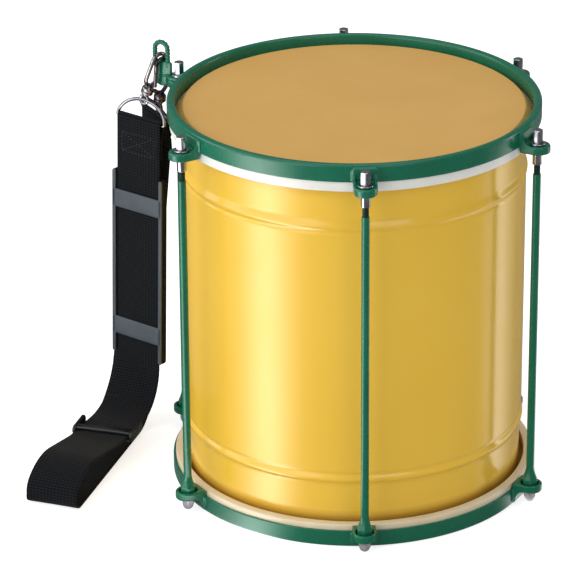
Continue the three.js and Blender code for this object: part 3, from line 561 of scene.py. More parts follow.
def bandGrid(h, recess, collar):
    # upright outer wall, rounded top, turned-in inner wall
    outer, inner, wall, r = h["radius"], h["radius"] - h["rim"], h["wall"], h["round"]
    foot, innerFoot, under = recess - h["height"], -collar + gap, recess - wall
    corners = [(outer, foot, 0.7), (outer, recess, r), (inner, recess, r), (inner, innerFoot, 0.5),
               (inner + wall, innerFoot, 0.5), (inner + wall, under, 1.2), (outer - wall, under, 1.2),
               (outer - wall, foot, 0.7)]
    return spun(roundedOutline(corners, 7), 240)


def earGrids(h, recess):
    # in the lug's frame, X outwards: a tongue round the rod's hole, two cheeks and the leg on the band
    half, top = h["earHalf"], recess - h["earDrop"]
    foot, face = top - h["earDepth"], h["radius"] - drum["lugRadius"]
    a = around(72)
    front = 1 / np.hypot(np.cos(a) / h["earFront"], np.sin(a) / half)
    back = np.minimum(half / np.maximum(np.abs(np.sin(a)), 1e-6), (0.8 - face) / np.maximum(-np.cos(a), 1e-6))
    reach = np.where(np.cos(a) > 0, front, back)
    hole, cup, plate = h["hole"], h["cup"], top - h["earPlate"]
    rows = [hole + (reach - 1.4 - hole) * share for share in np.linspace(0, 1, 7)]
    rows += [reach - 0.5, reach, reach, reach - 0.4, reach - 1.2, cup + 0.2, cup, hole]
    heights = [top] * 5 + [top + 0.25, top + 0.7, top + 0.3, top - 0.9, foot + 1.0, foot + 0.2, foot]
    heights += [foot, plate, plate]
    grids = [(np.stack([ringPoints(r, a, z) for r, z in zip(rows, heights)]), True, True)]
    s = np.linspace(0, 1, 12)
    rise, behind, leg = recess - h["cheekTop"] - top, face - 0.9, face + h["leg"]
    curve = np.stack((face + 0.2 + h["cheekReach"] * s, top + rise * (1 - s) ** 2.3), -1)
    tip, wall, inside = face + h["cheekReach"], h["cheekWall"], half - 0.3
    cheek = np.concatenate((curve, [(tip, top - 1), (behind, top - 3), (behind, top + rise)]))
    shin = [(behind, foot, 0), (leg, foot, 1), (leg, recess - 3.2, 1.4), (behind, recess - 1.2, 0)]
    for section, low, high in ((cheek, -half, wall - half), (cheek, half - wall, half),
                               (roundedOutline(shin, 4), -inside, inside)):
        x, z = section.T
        grids.append((capped(np.stack([np.stack((x, 0 * x + y, z), -1) for y in (low, high)])), False, True))
    # a weld bead stands on the band beside each cheek
    z = np.linspace(0, 1, 9)[:, None]
    reach = h["bead"] * np.sqrt(1 - np.abs(2 * z - 1) ** 6 * 0.9)
    bead = ringPoints(reach, around(12), recess - 3.4 - (h["height"] - 4.4) * z)
    for side in (-1, 1):
        grids.append((capped(bead + (face - 0.2, side * (half + h["bead"] * 0.7), 0)), False, True))
    return grids


def earMesh(h, recess):
    # the ear's solids become one skin: remeshed together, then smoothed so that their joins turn into fillets
    mesh = gridMesh("earDraft", earGrids(h, recess), 1)
    cleanMesh(mesh, 1e-4)
    draft = addObject("earDraft", mesh)
    remesh = draft.modifiers.new("skin", "REMESH")
    remesh.mode = "VOXEL"
    remesh.voxel_size = h["voxel"]
    smooth = draft.modifiers.new("fillets", "SMOOTH")
    smooth.factor = 0.5
    smooth.iterations = 5
    bpy.context.view_layer.update()
    done = bpy.data.meshes.new_from_object(draft.evaluated_get(bpy.context.evaluated_depsgraph_get()))
    points, quads = np.empty(len(done.vertices) * 3), np.empty(len(done.loops), int)
    done.vertices.foreach_get("co", points)
    done.loops.foreach_get("vertex_index", quads)
    bpy.data.objects.remove(draft)
    return points.reshape(-1, 3), quads.reshape(-1, 4)


def makeHoop(h, name, recess, collar, place):
    band = bandGrid(h, recess, collar)
    ear, quads = earMesh(h, recess)
    places, faces = [band.reshape(-1, 3)], [gridFaces(*band.shape[:2], True, True)]
    for i in range(6):
        faces.append(quads + len(places[0]) + i * len(ear))
        places.append(placed(ear, *lugFrame(i))[0])
    mesh = bpy.data.meshes.new(name)
    mesh.from_pydata((place(np.concatenate(places)) * mm).tolist(), [], np.concatenate(faces).tolist())
    cleanMesh(mesh)
    finishPiece(f"{name}_skin", mesh, greenPaint, "drum", [name], 50)


makeHoop(hoop, "batter_hoop", drum["batterRecess"], drum["batterCollar"], lambda g: g)
makeHoop(hoop, "resonant_hoop", drum["resonantRecess"], drum["resonantCollar"], lowered)
print("hoops made")


# Tension rods and nuts

tension = {
    "rod": 3.5,
    "thread": 2.9,
    "pitch": 1.0,
    "shoulderDrop": 41.0,
    "topDrop": 8.0,
    "flats": 12.7,
    "flareLength": 12.0,
    "flareLift": 3.4,
    "hexFlats": 8.2,
    "nutTopDrop": 0.8,
    "nutLift": 3.0,
    "shank": 4.2,
    "shankDrop": 32.0,
    "washer": 6.9,
    "washerThickness": 1.6,
    "plateLift": 3.3,
    "flange": 6.5,
    "flangeThickness": 1.7,
    "footBody": 5.0,
    "domeDrop": 6.3,
    "domeDepth": 5.6,
    "footFlats": 10.0,
}
earTop = drum["batterRecess"] - hoop["earDrop"]
footEar = hoopFoot + hoop["earDrop"]


def hexReach(angle, flats, corner):
    # distance to a hexagon's side, with its corners drawn in to a rounded reach
    sector = np.mod(angle, math.pi / 3) - math.pi / 6
    return np.minimum(flats / 2 / np.cos(sector), corner)


def blendedRod(t, shoulder):
    # rows are (height, round radius, share of hexagon); the share goes from round rod to flared hexagon
    rod, foot = t["rod"], footEar + hoop["earPlate"] + gap
    rim = footEar + hoop["earDepth"] + t["flareLift"]
    s = np.linspace(0, 1, 14)
    flare = np.stack((rim + t["flareLength"] * s, rod + 0 * s, (1 - s) ** 2 * (1 + 0.6 * s)), -1)
    lower = ((foot, rod, 0.94), (foot + 0.5, rod, 1.0), (rim - 0.6, rod, 1.0))
    upper = ((shoulder - 1.2, rod, 0), (shoulder - 0.3, rod - 0.15, 0), (shoulder, rod - 0.6, 0))
    z, r, share = np.split(np.concatenate((lower, flare, upper)), 3, axis=1)
    a = around(48)
    return capped(ringPoints(r + (hexReach(a, t["flats"], t["flats"] / 2 * 1.11) - r) * share, a, z))


def threadGrid(radius, pitch, low, high):
    # a round bar whose radius rises and falls once per turn of the screw
    z = np.arange(low, high, pitch / 8)[:, None]
    a = around(32)
    wave = np.abs(np.mod(z / pitch - a / turn, 1) - 0.5) * 2
    fade = np.clip((high - z) / 1.2, 0, 1)
    return capped(ringPoints(radius - 0.5 * (1 - wave) * fade - 0.45 * (1 - fade), a, z))


def nutGrid(flats, low, high, chamfer):
    # hexagon whose corners are turned off at both ends
    a = around(72) + math.pi / 6
    corner = flats / 2 / math.cos(math.pi / 6)
    levels = [(low, corner - chamfer * 0.6), (low + chamfer * 0.35, corner), (high - chamfer, corner),
              (high - chamfer * 0.4, corner - chamfer * 0.5), (high, corner - chamfer * 1.3)]
    return capped(np.stack([ringPoints(hexReach(a, flats, min(r, corner * 0.985)), a, z) for z, r in levels]))


def makeTension(t):
    recess, shoulder = drum["batterRecess"], drum["batterRecess"] - t["shoulderDrop"]
    rod = blendedRod(t, shoulder)
    threads = [threadGrid(t["thread"], t["pitch"], low, high) for low, high in (
        (shoulder - 0.6, recess - t["topDrop"]), (footEar - 7, footEar + 2.9))]
    bore, shank, hole = t["thread"] + gap, t["shank"], t["shank"] + gap
    flange, body, footTop, shankFoot = t["flange"], t["footBody"], footEar - gap, recess - t["shankDrop"]
    under, domeTop = footTop - t["flangeThickness"], footTop - t["domeDrop"]
    dome = np.linspace(0, math.pi / 2, 10)
    rim = [(bore, footTop, 0), (flange, footTop, 0.4), (flange, under, 0.5), (body, under, 0)]
    footOutline = np.concatenate((
        roundedOutline(rim, 4, False),
        np.stack((body * np.cos(dome), domeTop - t["domeDepth"] * np.sin(dome)), -1)))
    for i in range(6):
        n, home, plate = i + 1, lugFrame(i), i == strapLug
        seat = earTop + gap + (t["plateLift"] if plate else 0)
        top, nutTop = seat + t["washerThickness"], recess - t["nutTopDrop"] + (t["nutLift"] if plate else 0)
        nutSeat = top + gap
        makePiece(f"rod_{n}", [placed(rod, *home)], greenPaint, "drum", [f"tension_rod_{n}"], 30)
        makePiece(f"rod_thread_{n}", [placed(grid, *home) for grid in threads], darkThread, "drum", (), 60)
        outline = [(hole, seat, 0), (t["washer"], seat, 0.3), (t["washer"], top, 0.5), (hole, top, 0)]
        washer = spun(roundedOutline(outline, 4), 48)
        makePiece(f"washer_{n}", [placed(washer, *home, True)], silver, "drum", [f"tension_washer_{n}"])
        sleeve = spun(roundedOutline([(bore, nutSeat + 1, 0), (bore, shankFoot, 0.2), (shank, shankFoot, 0.5),
                                      (shank, nutSeat + 1, 0)], 4), 48)
        hexagon = nutGrid(t["hexFlats"], nutSeat, nutTop, 0.8)
        makePiece(f"nut_{n}", [placed(sleeve, *home, True), placed(hexagon, *home)],
                  silver, f"nut_{n}", [f"tension_nut_{n}"], 28)
        footHex = nutGrid(t["footFlats"], domeTop, footTop - 1.2, 0.5)
        makePiece(f"foot_{n}", [placed(spun(footOutline, 48), *home), placed(footHex, *home)],
                  footSilverLit, "drum", [f"foot_nut_{n}"], 28)


makeTension(tension)
print("tension rods made")


# Strap bracket

outward, alongHoop = lugFrame(strapLug)[1][:2]

bracket = {
    "plate": 3.0,
    "half": 8.7,
    "tail": 6.0,
    "finThickness": 3.6,
    "finReach": 17.9,
    "finInner": 7.4,
    "finOuter": 25.2,
    "finHeel": 11.9,
    "finHeelTop": -6.9,
    "finFoot": -16.8,
    "wire": 4.6,
    "legSpacing": 12.8,
    "loopHeight": 20.2,
    "ribs": 17,
    "ribDepth": 0.6,
}
finTop = drum["batterRecess"]
loopTop = finTop + bracket["loopHeight"]


def makeBracket(b):
    home, reach, heel, foot = lugFrame(strapLug), b["finReach"], b["finHeel"], b["finFoot"]
    inner, outer, crest, heelTop = b["finInner"], b["finOuter"], finTop + 0.4, b["finHeelTop"]
    outline = roundedOutline([(inner, crest, 2.5), (inner, heelTop, 1.2), (heel, heelTop, 0.8),
                              (heel, foot + 2.5, 2.5), (heel + 5.5, foot, 5), (outer, foot + 3.0, 7.0),
                              (outer, crest, 2.0)], 10)
    fin = platedOutline(outline, b["finThickness"], 1.2)[..., [0, 2, 1]]
    half = b["half"]
    edge = [(-b["tail"], half, 1.5), (reach / 3, half, 3), (reach * 0.72, 2.2, 2.5), (reach + 1, 2.2, 1)]
    plan = roundedOutline([(x, -y, corner) for x, y, corner in edge] + edge[::-1], 5)
    plate = platedOutline(plan, b["plate"], 0.7) + upward * (earTop + gap + b["plate"] / 2)
    # the loop: up one leg, half a turn, down the other, with ribs as a wave of its radius
    r = b["legSpacing"] / 2
    crown = loopTop - b["wire"] / 2 - r
    leg = crown - finTop + b["wire"]
    total = leg * 2 + math.pi * r
    s = np.linspace(0, total, b["ribs"] * 12 + 1)
    a = np.clip((s - leg) / r, 0, math.pi)
    down = np.where(s < leg, leg - s, np.maximum(s - leg - math.pi * r, 0))
    path = np.stack((reach - r * np.cos(a), 0 * s, crown + r * np.sin(a) - down), -1)
    wave = np.abs(np.cos(s / total * math.pi * b["ribs"])) ** 0.7
    radius = b["wire"] / 2 - b["ribDepth"] * (1 - wave)
    loop = capped(swept(path, circle(20) * radius[:, None, None], sideways))
    makePiece("bracket", [placed(grid, *home) for grid in (fin, plate, loop)], greenPaint, "drum",
              ["strap_bracket"], 42)


makeBracket(bracket)


# Snap hooks

hook = {
    "wire": 3.8,
    "inner": 10.0,
    "length": 27.0,
    "barrel": 5.6,
    "barrelLength": 9.0,
    "groove": 0.8,
    "shoulder": 3.5,
    "nose": 6.0,
    "noseTaper": (0.93, 0.72),
    "gate": 3.6,
    "gateRoot": 2.4,
    "stem": 2.0,
    "eye": 4.2,
    "eyeWire": 3.0,
    "eyeDrop": 6.5,
    "turn": 1.22,
}
hookSlant = outward * math.cos(hook["turn"]) + alongHoop * math.sin(hook["turn"])
frontTurn, backTurn = 0.71, 1.1  # how far the strap's width is turned about Z at its two rings


def levelAcross(a):
    return np.stack((np.cos(a), -np.sin(a), 0 * a), -1)


frontAcross, backAcross = levelAcross(frontTurn), levelAcross(backTurn)


def strapPoint(x, y, z):
    # a point of the strap's run, measured from the strap lug
    return outward * drum["lugRadius"] + (x, y, z)


def bracketPoint(reach, rise):
    # a point over the fin
    return outward * (drum["lugRadius"] + reach) + upward * (finTop + rise)


def hookUp(lean, sway):
    return unit(upward - outward * lean - alongHoop * sway)


def makeHook(h, n, crown, up, across, material, ringAcross):
    wire, arm, end = h["wire"] / 2, (h["inner"] + h["wire"]) / 2, h["barrelLength"]
    shoulder = end + h["shoulder"]
    crownZ = shoulder + h["length"] - h["inner"] / 2
    origin = crown - up * (shoulder + h["length"])
    home, eyeHome = (origin, axesFrom(across, up)), (origin, axesFrom(ringAcross, up))
    a = np.linspace(math.pi, 0, 25)
    path = np.concatenate((
        [(0, 0, end - 2), (-arm * 0.55, 0, end + 0.6), (-arm * 0.92, 0, shoulder + 0.4)],
        [(-arm, 0, z) for z in np.linspace(shoulder + 3, crownZ - 2, 6)],
        np.stack((arm * np.cos(a), 0 * a, crownZ + arm * np.sin(a)), -1),
        [(arm, 0, crownZ - h["nose"] * s) for s in (0.35, 0.7, 0.93, 1.0)]))
    taper = np.ones((len(path), 1, 1))
    taper[-2:, 0, 0] = h["noseTaper"]
    body = swept(path, circle(20) * wire * taper, sideways)
    lugPath = np.array(((0, 0, end - 2), (arm * 0.5, 0, end + 0.4), (arm * 0.93, 0, shoulder - 1.6),
                        (arm, 0, shoulder - 0.3)))
    lug = swept(lugPath, circle(20) * wire, sideways)
    stem, wide, narrow = h["stem"], h["barrel"], h["barrel"] - h["groove"]
    barrel = [(stem + gap, 3.0, 0), (stem + gap, 0, 0.3), (wide, 0, 0.9), (wide, 2.2, 0.2),
              (narrow, 2.5, 0.2), (narrow, 3.1, 0.2), (wide, 3.4, 0.2), (wide, end - h["shoulder"], 1.5),
              (2.6, end + 0.4, 1), (0.01, end + 0.4, 0)]
    barrel = spun(roundedOutline(barrel, 5, False), 40)
    makePiece(f"hook_{n}", [placed(capped(grid), *home) for grid in (body, lug, barrel)],
              material, "drum", [f"hook_body_{n}"], 40)
    root, tip, thick = shoulder + h["gateRoot"], crownZ - h["nose"] - gap, h["gate"] / 2
    gate = [(0, root, 0), (thick, root, 0.5), (thick, tip - 0.9, 0.5), (thick / 1.3, tip, 0.4), (0, tip, 0)]
    gate = spun(roundedOutline(gate, 4, False), 28) + (arm, 0, 0)
    makePiece(f"gate_{n}", [placed(gate, *home)], material, f"gate_{n}", [f"hook_gate_{n}"], 40)
    low, b = h["eye"] - h["eyeDrop"], around(40)
    neck = roundedOutline([(0, low, 0), (3.1, low, 0.4), (3.1, -0.3, 0.5), (stem, -0.3, 0), (stem, 3.5, 0),
                           (2.8, 3.5, 0), (2.8, 5.4, 0), (0, 5.4, 0)], 4, False)
    ring = np.stack((h["eye"] * np.cos(b), 0 * b, -h["eyeDrop"] + h["eye"] * np.sin(b)), -1)
    eye = swept(ring, circle(18) * h["eyeWire"] / 2, sideways, closed=True)
    makePiece(f"swivel_{n}", [placed(spun(neck, 32), *eyeHome), placed(eye, *eyeHome, True)],
              material, "drum", [f"hook_swivel_{n}"], 40)
    return origin - up * h["eyeDrop"]


eyeOne = makeHook(hook, 1, bracketPoint(18.9, 5.0), hookUp(0.36, 0.09), -hookSlant, hookSilver, frontAcross)
eyeTwo = makeHook(hook, 2, bracketPoint(16.8, 0.8), hookUp(0.1, 0.0), hookSlant, darkPlating, backAcross)

ring = {"wire": 3.2, "bar": 55.0}


def makeRing(r, n, middle, across, eye, material):
    # a straight bar in the webbing and half an ellipse through the swivel's eye
    half = r["bar"] / 2
    rise = eye - middle - upward * (hook["eye"] - hook["eyeWire"] / 2 - r["wire"] / 2) / 3
    slide = np.dot(rise, across)
    rise = rise - across * slide
    up, height = unit(rise), np.linalg.norm(rise) / math.sqrt(1 - (slide / half) ** 2)
    a = np.linspace(0, math.pi, 49)
    arc = middle + np.outer(half * np.cos(a), across) + np.outer(height * np.sin(a), up)
    s = np.linspace(-1, 1, 14)[1:-1]
    path = np.concatenate((arc, middle + np.outer(half * s, across)))
    path = (np.roll(path, 1, 0) + 2 * path + np.roll(path, -1, 0)) / 4
    tube = swept(path, circle(20) * r["wire"] / 2, unit(np.cross(across, up)), closed=True)
    makePiece(f"ring_{n}", [(tube, True, True)], material, "drum", [f"strap_ring_{n}"])


barOne, barTwo = strapPoint(-35.3, 9.6, -49.8), strapPoint(-20.0, 26.5, -53.0)
makeRing(ring, 1, barOne, frontAcross, eyeOne, hookSilver)
makeRing(ring, 2, barTwo, backAcross, eyeTwo, darkPlating)
print("hooks and rings made")


# Webbing

strap = {
    "width": 50.0,
    "thickness": 1.8,
    "lap": 32.4,
    "loose": 3.0,
    "sewn": 13.0,
    "closeRadius": 7.0,
    "runLean": 6.4,
    "runSway": 11.0,
    "neck": 8.0,
    "neckRadius": 12.0,
    "belly": (-22.7, 20.9, -83.5),
    "bellyRadius": 40.0,
    "backFoot": (-50.3, 31.6),
    "fold": (-120.7, -162.5),
    "foldHeight": 26.0,
    "hump": [(0.52, 0.0), (0.86, 9.0)],
    "foldDrop": 9.0,
    "humpRadii": (60.0, 50.0),
    "foldRadii": (16.0, 8.0),
    "frontRadius": 50.0,
    "backRadius": 42.0,
    "floorGap": 0.4,
}
wrap = ring["wire"] / 2 + gap + strap["thickness"] / 2
runNormal, backNormal = unit(np.cross(frontAcross, upward)), unit(np.cross(backAcross, upward))
lowZ = hoopFoot + strap["floorGap"] + strap["thickness"] / 2
highZ = lowZ + strap["foldHeight"]
frontFoot = np.array((barOne[0] - strap["runLean"], barOne[1] - strap["runSway"], highZ))
backNeck = barTwo - upward * strap["neck"]
backBelly = strapPoint(*strap["belly"])
backFoot = strapPoint(*strap["backFoot"], lowZ)
foldTop, foldFoot = strapPoint(*strap["fold"], highZ), strapPoint(*strap["fold"], lowZ)
toFold = foldTop - frontFoot
humpFoot, humpTop = (frontFoot + toFold * share + upward * rise for share, rise in strap["hump"])
foldTop = foldTop - upward * strap["foldDrop"]


def strapRoute(w):
    # straight stretches whose corners are arcs, each point with the turn of the strap's width about Z
    high, low = (math.atan2(*np.abs(run[:2])) for run in (foldTop - frontFoot, backFoot - foldFoot))
    run, back, mid = frontTurn, backTurn, (frontTurn + backTurn) / 2
    over1, over2 = barOne + upward * wrap, barTwo + upward * wrap
    out1, out2 = runNormal * wrap, backNormal * wrap
    # each lap leaves the ring's bar, then closes up to the run that it is sewn to
    touching, close, snug = wrap - w["thickness"] - 0.15, w["closeRadius"], wrap * 0.98
    loose1, loose2 = (bar - upward * w["loose"] - out for bar, out in ((barOne, out1), (barTwo, out2)))
    sewn1 = barOne - upward * w["sewn"] + runNormal * touching
    sewn2 = backNeck + (backBelly - backNeck) * 0.3 + backNormal * touching
    end1, end2 = barOne - upward * w["lap"] + runNormal * touching, backBelly + backNormal * touching
    corners = [
        (end1, 0, run, run),
        (sewn1, close, run, run),
        (loose1, close, run, run),
        (over1 - out1, snug, run, run),
        (over1 + out1, snug, run, run),
        (frontFoot + out1, w["frontRadius"], run, high),
        (humpFoot, w["humpRadii"][0], high, high),
        (humpTop, w["humpRadii"][1], high, high),
        (foldTop, w["foldRadii"][0], high, high),
        (foldFoot, w["foldRadii"][1], high, low),
        (backFoot + out1, w["backRadius"], low, run),
        (backBelly + out2, w["bellyRadius"], mid, mid),
        (backNeck + out2, w["neckRadius"], back, back),
        (over2 + out2, snug, back, back),
        (over2 - out2, snug, back, back),
        (loose2, close, back, back),
        (sewn2, close, back, back * 0.7 + mid * 0.3),
        (end2, 0, mid, mid),
    ]
    steps = 14
    share = np.linspace(0, 1, steps + 1)
    route = [[(*end1, run)]]
    for (before, *_), (at, radius, enter, leave), (after, *_) in zip(corners, corners[1:], corners[2:]):
        arc = cornerArc(before, at, after, radius, steps)
        route.append(np.column_stack((arc, enter + (leave - enter) * share)))
    return np.concatenate((*route, [(*end2, mid)]))


def evenRoute(route, step):
    # the same route with points a step apart and at every corner point, unless two of them nearly meet
    length = np.concatenate(([0], np.cumsum(np.linalg.norm(np.diff(route[:, :3], axis=0), axis=1))))
    s = np.union1d(np.arange(0, length[-1], step), length)
    s = s[np.concatenate(([True], np.diff(s) > 0.05))]
    return s, np.stack([np.interp(s, length, column) for column in route.T], -1)


def makeWebbingPiece(w):
    # a flat section with rounded selvedges carried along the route
    s, route = evenRoute(strapRoute(w), 2.5)
    path = route[:, :3]
    ahead = unit(np.gradient(path, axis=0))
    across = square(levelAcross(route[:, 3]), ahead)
    half, thick = w["width"] / 2, w["thickness"] / 2
    u = np.linspace(-1, 1, 25) * (half - thick)
    edge = np.linspace(math.pi / 2, -math.pi / 2, 5)[1:-1]
    bulge = half - thick + thick * np.cos(edge)
    x = np.concatenate((u, bulge, u[::-1], -bulge))
    y = np.concatenate((0 * u + thick, thick * np.sin(edge), 0 * u - thick, -thick * np.sin(edge)))
    grid = path[:, None] + across[:, None] * x[:, None] + np.cross(ahead, across)[:, None] * y[:, None]
    facts = np.zeros(grid.shape)
    facts[..., 0], facts[..., 1] = s[:, None], x
    facts = np.concatenate((facts[:1], facts, facts[-1:]))
    makePiece("webbing_strap", [(capped(grid), False, True)], webbingCloth, "drum",
              ["strap_webbing"], 60, facts)


makeWebbingPiece(strap)
print("webbing made")


# Shoulder pad

runTop, runFoot = barOne + runNormal * wrap, frontFoot + runNormal * wrap
runUp = unit(runTop - runFoot)
padAxes = axesFrom(frontAcross, runUp)

pad = {
    "length": 178.0,
    "width": 59.0,
    "base": (1.3, 5.4),
    "rail": (-3.0, 5.4),
    "slot": 50.8,
    "bar": 17.0,
    "barInset": 18.5,
    "topDrop": 50.5,
    "corner": 4.0,
}


def makePad(p):
    # base behind the webbing, a rail on either side, and two bridges in front of it, with every rim rounded
    home, flipped = (runTop - runUp * (p["topDrop"] + p["length"] / 2), padAxes), (0, 2, 1)
    half, long, slot, bar = p["width"] / 2, p["length"] / 2, p["slot"] / 2, p["bar"] / 2
    ends, (front, back) = (-long, long), p["rail"]
    backs, fronts = [slab(home, (-half, half), ends, p["base"], p["corner"], 1.0, flipped)], []
    for side in (-1, 1):
        middle, reach = side * (slot + half) / 2, (half - slot) / 2
        xs = middle - reach, middle + reach
        backs.append(slab(home, xs, ends, (front + 0.8, back), 1.9, 0.9, flipped))
        fronts.append(slab(home, xs, ends, (front, front + 2.0), 1.9, 0.9, flipped))
    place = long - p["barInset"] - bar
    for z in (place, -place):
        xs = 0.3 - half, half - 0.3
        fronts.append(slab(home, xs, (z - bar, z + bar), (front, -1.2), 1.6, 0.7, flipped))
    makePiece("grip_pad", backs, padShade, "pad", ["shoulder_pad"], 40)
    makePiece("grip_front", fronts, padGrey, "pad", (), 40)


makePad(pad)

stitches = {
    "half": 19.0,
    "from": 13.0,
    "to": 31.0,
    "pitch": 3.6,
    "thread": 0.55,
}


def makeStitches(p, w):
    # a sewn box with a cross through the front lap; each stitch is a small ellipsoid along its seam
    wide, top, low, pitch, thread = p["half"], -p["from"], -p["to"], p["pitch"], p["thread"]
    seams = [((-wide, top), (wide, top)), ((-wide, low), (wide, low)), ((-wide, top), (-wide, low)),
             ((wide, top), (wide, low)), ((-wide, top), (wide, low)), ((-wide, low), (wide, top))]
    polar, round = np.linspace(0, math.pi, 7)[:, None], around(8)
    out = -w["thickness"] / 2 - thread * 0.3 * np.sin(polar) * np.sin(round)
    grids = []
    for start, end in np.array(seams):
        length = np.linalg.norm(end - start)
        ahead = (end - start) / length
        lean = np.array((-ahead[1], ahead[0]))
        for d in np.arange(pitch / 2, length - pitch / 3, pitch):
            flat = (start + ahead * d) + ahead * (pitch * 0.38 * np.cos(polar))[..., None] \
                + lean * (thread * np.sin(polar) * np.cos(round))[..., None]
            grids.append(placed(np.stack((flat[..., 0], out, flat[..., 1]), -1), runTop, padAxes))
    makePiece("lap_stitches", grids, stitchThread, "drum", (), 80)


makeStitches(stitches, strap)


# Slider

slider = {
    "width": 58.0,
    "length": 30.0,
    "cheek": 9.0,
    "corner": 4.3,
    "bar": 2.2,
    "barLength": 4.5,
    "grip": 4.2,
    "gripLength": 7.5,
    "gripPlace": -8.5,
    "place": 65.0,
    "turn": 7.0,
}


def makeSlider(q):
    lower = unit((humpFoot - runFoot) * (1, 1, 0))
    a = math.radians(q["turn"])
    along = lower * math.cos(a) + np.cross(upward, lower) * math.sin(a)
    home = (np.array((runFoot[0], runFoot[1], highZ)) + lower * q["place"],
            np.stack((unit(np.cross(-along, upward)), -along, upward)))
    half, inner, bar = strap["thickness"] / 2 + gap, strap["width"] / 2 + 0.4, q["barLength"]
    foot, long, wide = -half - q["bar"], q["length"] / 2, q["width"] / 2
    top, corner = foot + q["cheek"], q["corner"]
    side = [(-long, foot, corner), (long, foot, corner), (long, top, corner), (-long, top, corner)]
    cheek = platedOutline(roundedOutline(side, 8), wide - inner, 1.5)[..., [2, 0, 1]]
    parts = [placed(cheek + (s * (inner + wide) / 2, 0, 0), *home) for s in (-1, 1)]
    edge = (q["length"] - bar) / 2 - 0.3
    for y, low, high, deep in ((-edge, foot, -half, bar), (edge, foot, -half, bar),
                               (q["gripPlace"], half, half + q["grip"], q["gripLength"])):
        ys, rim = (y - deep / 2, y + deep / 2), min(high - low, deep) * 0.42
        parts.append(slab(home, (-inner - 0.6, inner + 0.6), ys, (low, high), 0.6, rim))
    makePiece("strap_slide", parts, sliderBlack, "slider", ["strap_slider"], 40)


makeSlider(slider)
print("pad and slider made")


# Studio

studio = {
    "size": 6000,
    "world": 0.34,
    "floor": 0.8,
    "glow": 0.7,
    "mirrorWorld": 0.2,
    "mirrorFloor": 0.2,
    "cameraTurn": -93.15,
    "wallRadius": 150.5,
    "bands": [(-29.8, 0.29, 6.6), (56.6, 0.23, 1.9)],
    "lamps": [
        ("keySoftbox", (-2100, -1900, 1050), (0, 0, -150), 2400, 2500, 39.5),
        ("leftSoftbox", (-2750, 200, 800), (0, 0, -170), 2000, 2200, 30.0),
        ("frontFill", (1300, -3200, 1900), (0, 0, -150), 1600, 1600, 16.0),
        ("rightStrip", (2300, 500, 300), (0, 0, -200), 260, 2200, 9.0),
        ("topSoftbox", (-200, 500, 2900), (0, 0, 0), 2800, 2800, 27.0),
    ],
}


def mirroredBands(f, s):
    # glossy rays find a dim floor that glows in bright fans, though it is no lamp; upright walls mirror the
    # fans as soft highlight stripes
    spot = f.split(f.place)
    total = s["mirrorFloor"]
    for side, width, strength in s["bands"]:
        normal, fan = math.radians(s["cameraTurn"] + side), math.radians(s["cameraTurn"] + 2 * side)
        back = s["wallRadius"] * math.cos(math.radians(side)) / 2
        apex = [s["wallRadius"] * wave(normal) - back * wave(fan) for wave in (math.cos, math.sin)]
        x = f.math("SUBTRACT", spot["X"], apex[0] * mm)
        y = f.math("SUBTRACT", spot["Y"], apex[1] * mm)
        (xCos, xSin), (yCos, ySin) = (
            [f.math("MULTIPLY", value, wave(fan)) for wave in (math.cos, math.sin)] for value in (x, y))
        angle = f.math("ARCTAN2", f.math("SUBTRACT", yCos, xSin), f.math("ADD", xCos, ySin))
        away = f.math("DIVIDE", angle, width)
        peak = f.math("EXPONENT", f.math("MULTIPLY", f.math("MULTIPLY", away, away), -1.0))
        total = f.math("ADD", f.math("MULTIPLY", peak, strength), total)
    return total


def whiteLight(node, strength):
    node.inputs["Color"].default_value = (1, 1, 1, 1)
    node.inputs["Strength"].default_value = strength
    return node.outputs[0]


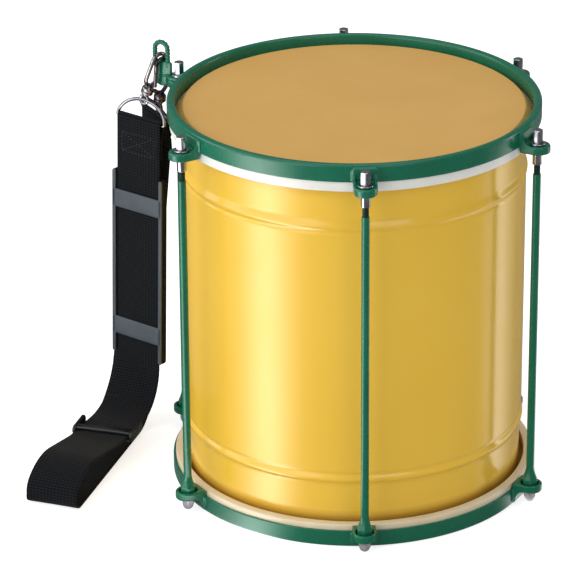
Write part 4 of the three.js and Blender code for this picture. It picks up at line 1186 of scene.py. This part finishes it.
def pickByRay(tree, output, plain, mirrored, seen):
    # diffuse rays find plain, glossy ones mirrored, and those of the camera, also through glass, seen
    rays = tree.nodes.new("ShaderNodeLightPath").outputs
    either = tree.nodes.new("ShaderNodeMath")
    either.operation = "MAXIMUM"
    for slot, kind in zip(either.inputs, ("Is Camera Ray", "Is Transmission Ray")):
        tree.links.new(rays[kind], slot)
    shader = plain
    for share, other in ((rays["Is Glossy Ray"], mirrored), (either.outputs["Value"], seen)):
        node = tree.nodes.new("ShaderNodeMixShader")
        for slot, value in zip(node.inputs, (share, shader, other)):
            tree.links.new(value, slot)
        shader = node.outputs["Shader"]
    tree.links.new(shader, tree.nodes[output].inputs["Surface"])


def makeFloor(s):
    size = s["size"]
    x, y = np.array(((-size, size, size, -size), (-size, -size, size, size)))
    corners = np.stack((x, y, 0 * x + hoopFoot), -1)
    mesh = bpy.data.meshes.new("studioFloor")
    mesh.from_pydata((corners * mm).tolist(), [], [(0, 1, 2, 3)])
    floor = addObject("studioFloor", mesh)
    grey, paler = (s["floor"],) * 3 + (1,), (s["floor"] + 0.01,) * 3 + (1,)
    f = Finish("studioFloor", grey, 0.9)
    f.colours(f.noise(3), grey, paler)
    lit, bright = f.shader.outputs["BSDF"], f.add("AddShader")
    f.links.new(lit, bright.inputs[0])
    f.links.new(whiteLight(f.add("Emission"), s["glow"]), bright.inputs[1])
    bands = f.add("Emission", Strength=mirroredBands(f, s)).outputs["Emission"]
    pickByRay(f.material.node_tree, "Material Output", lit, bands, bright.outputs["Shader"])
    mesh.materials.append(f.material)


def makeLight(s):
    world = bpy.data.worlds.new("studio")
    world.use_nodes = True
    bpy.context.scene.world = world
    nodes = world.node_tree.nodes
    plain = whiteLight(nodes["Background"], s["world"])
    mirrored, seen = (whiteLight(nodes.new("ShaderNodeBackground"), v) for v in (s["mirrorWorld"], 1.0))
    pickByRay(world.node_tree, "World Output", plain, mirrored, seen)
    for name, place, target, wide, tall, power in s["lamps"]:
        lamp = bpy.data.lights.new(name, "AREA")
        lamp.shape = "RECTANGLE"
        lamp.size, lamp.size_y, lamp.energy = wide * mm, tall * mm, power
        holder = addObject(name, lamp)
        holder.location = Vector(place) * mm
        aim = (Vector(target) - Vector(place)) * mm
        holder.rotation_euler = aim.to_track_quat("-Z", "Y").to_euler()
    bpy.context.scene.view_settings.view_transform = "Standard"


makeFloor(studio)
makeLight(studio)
print("studio made")
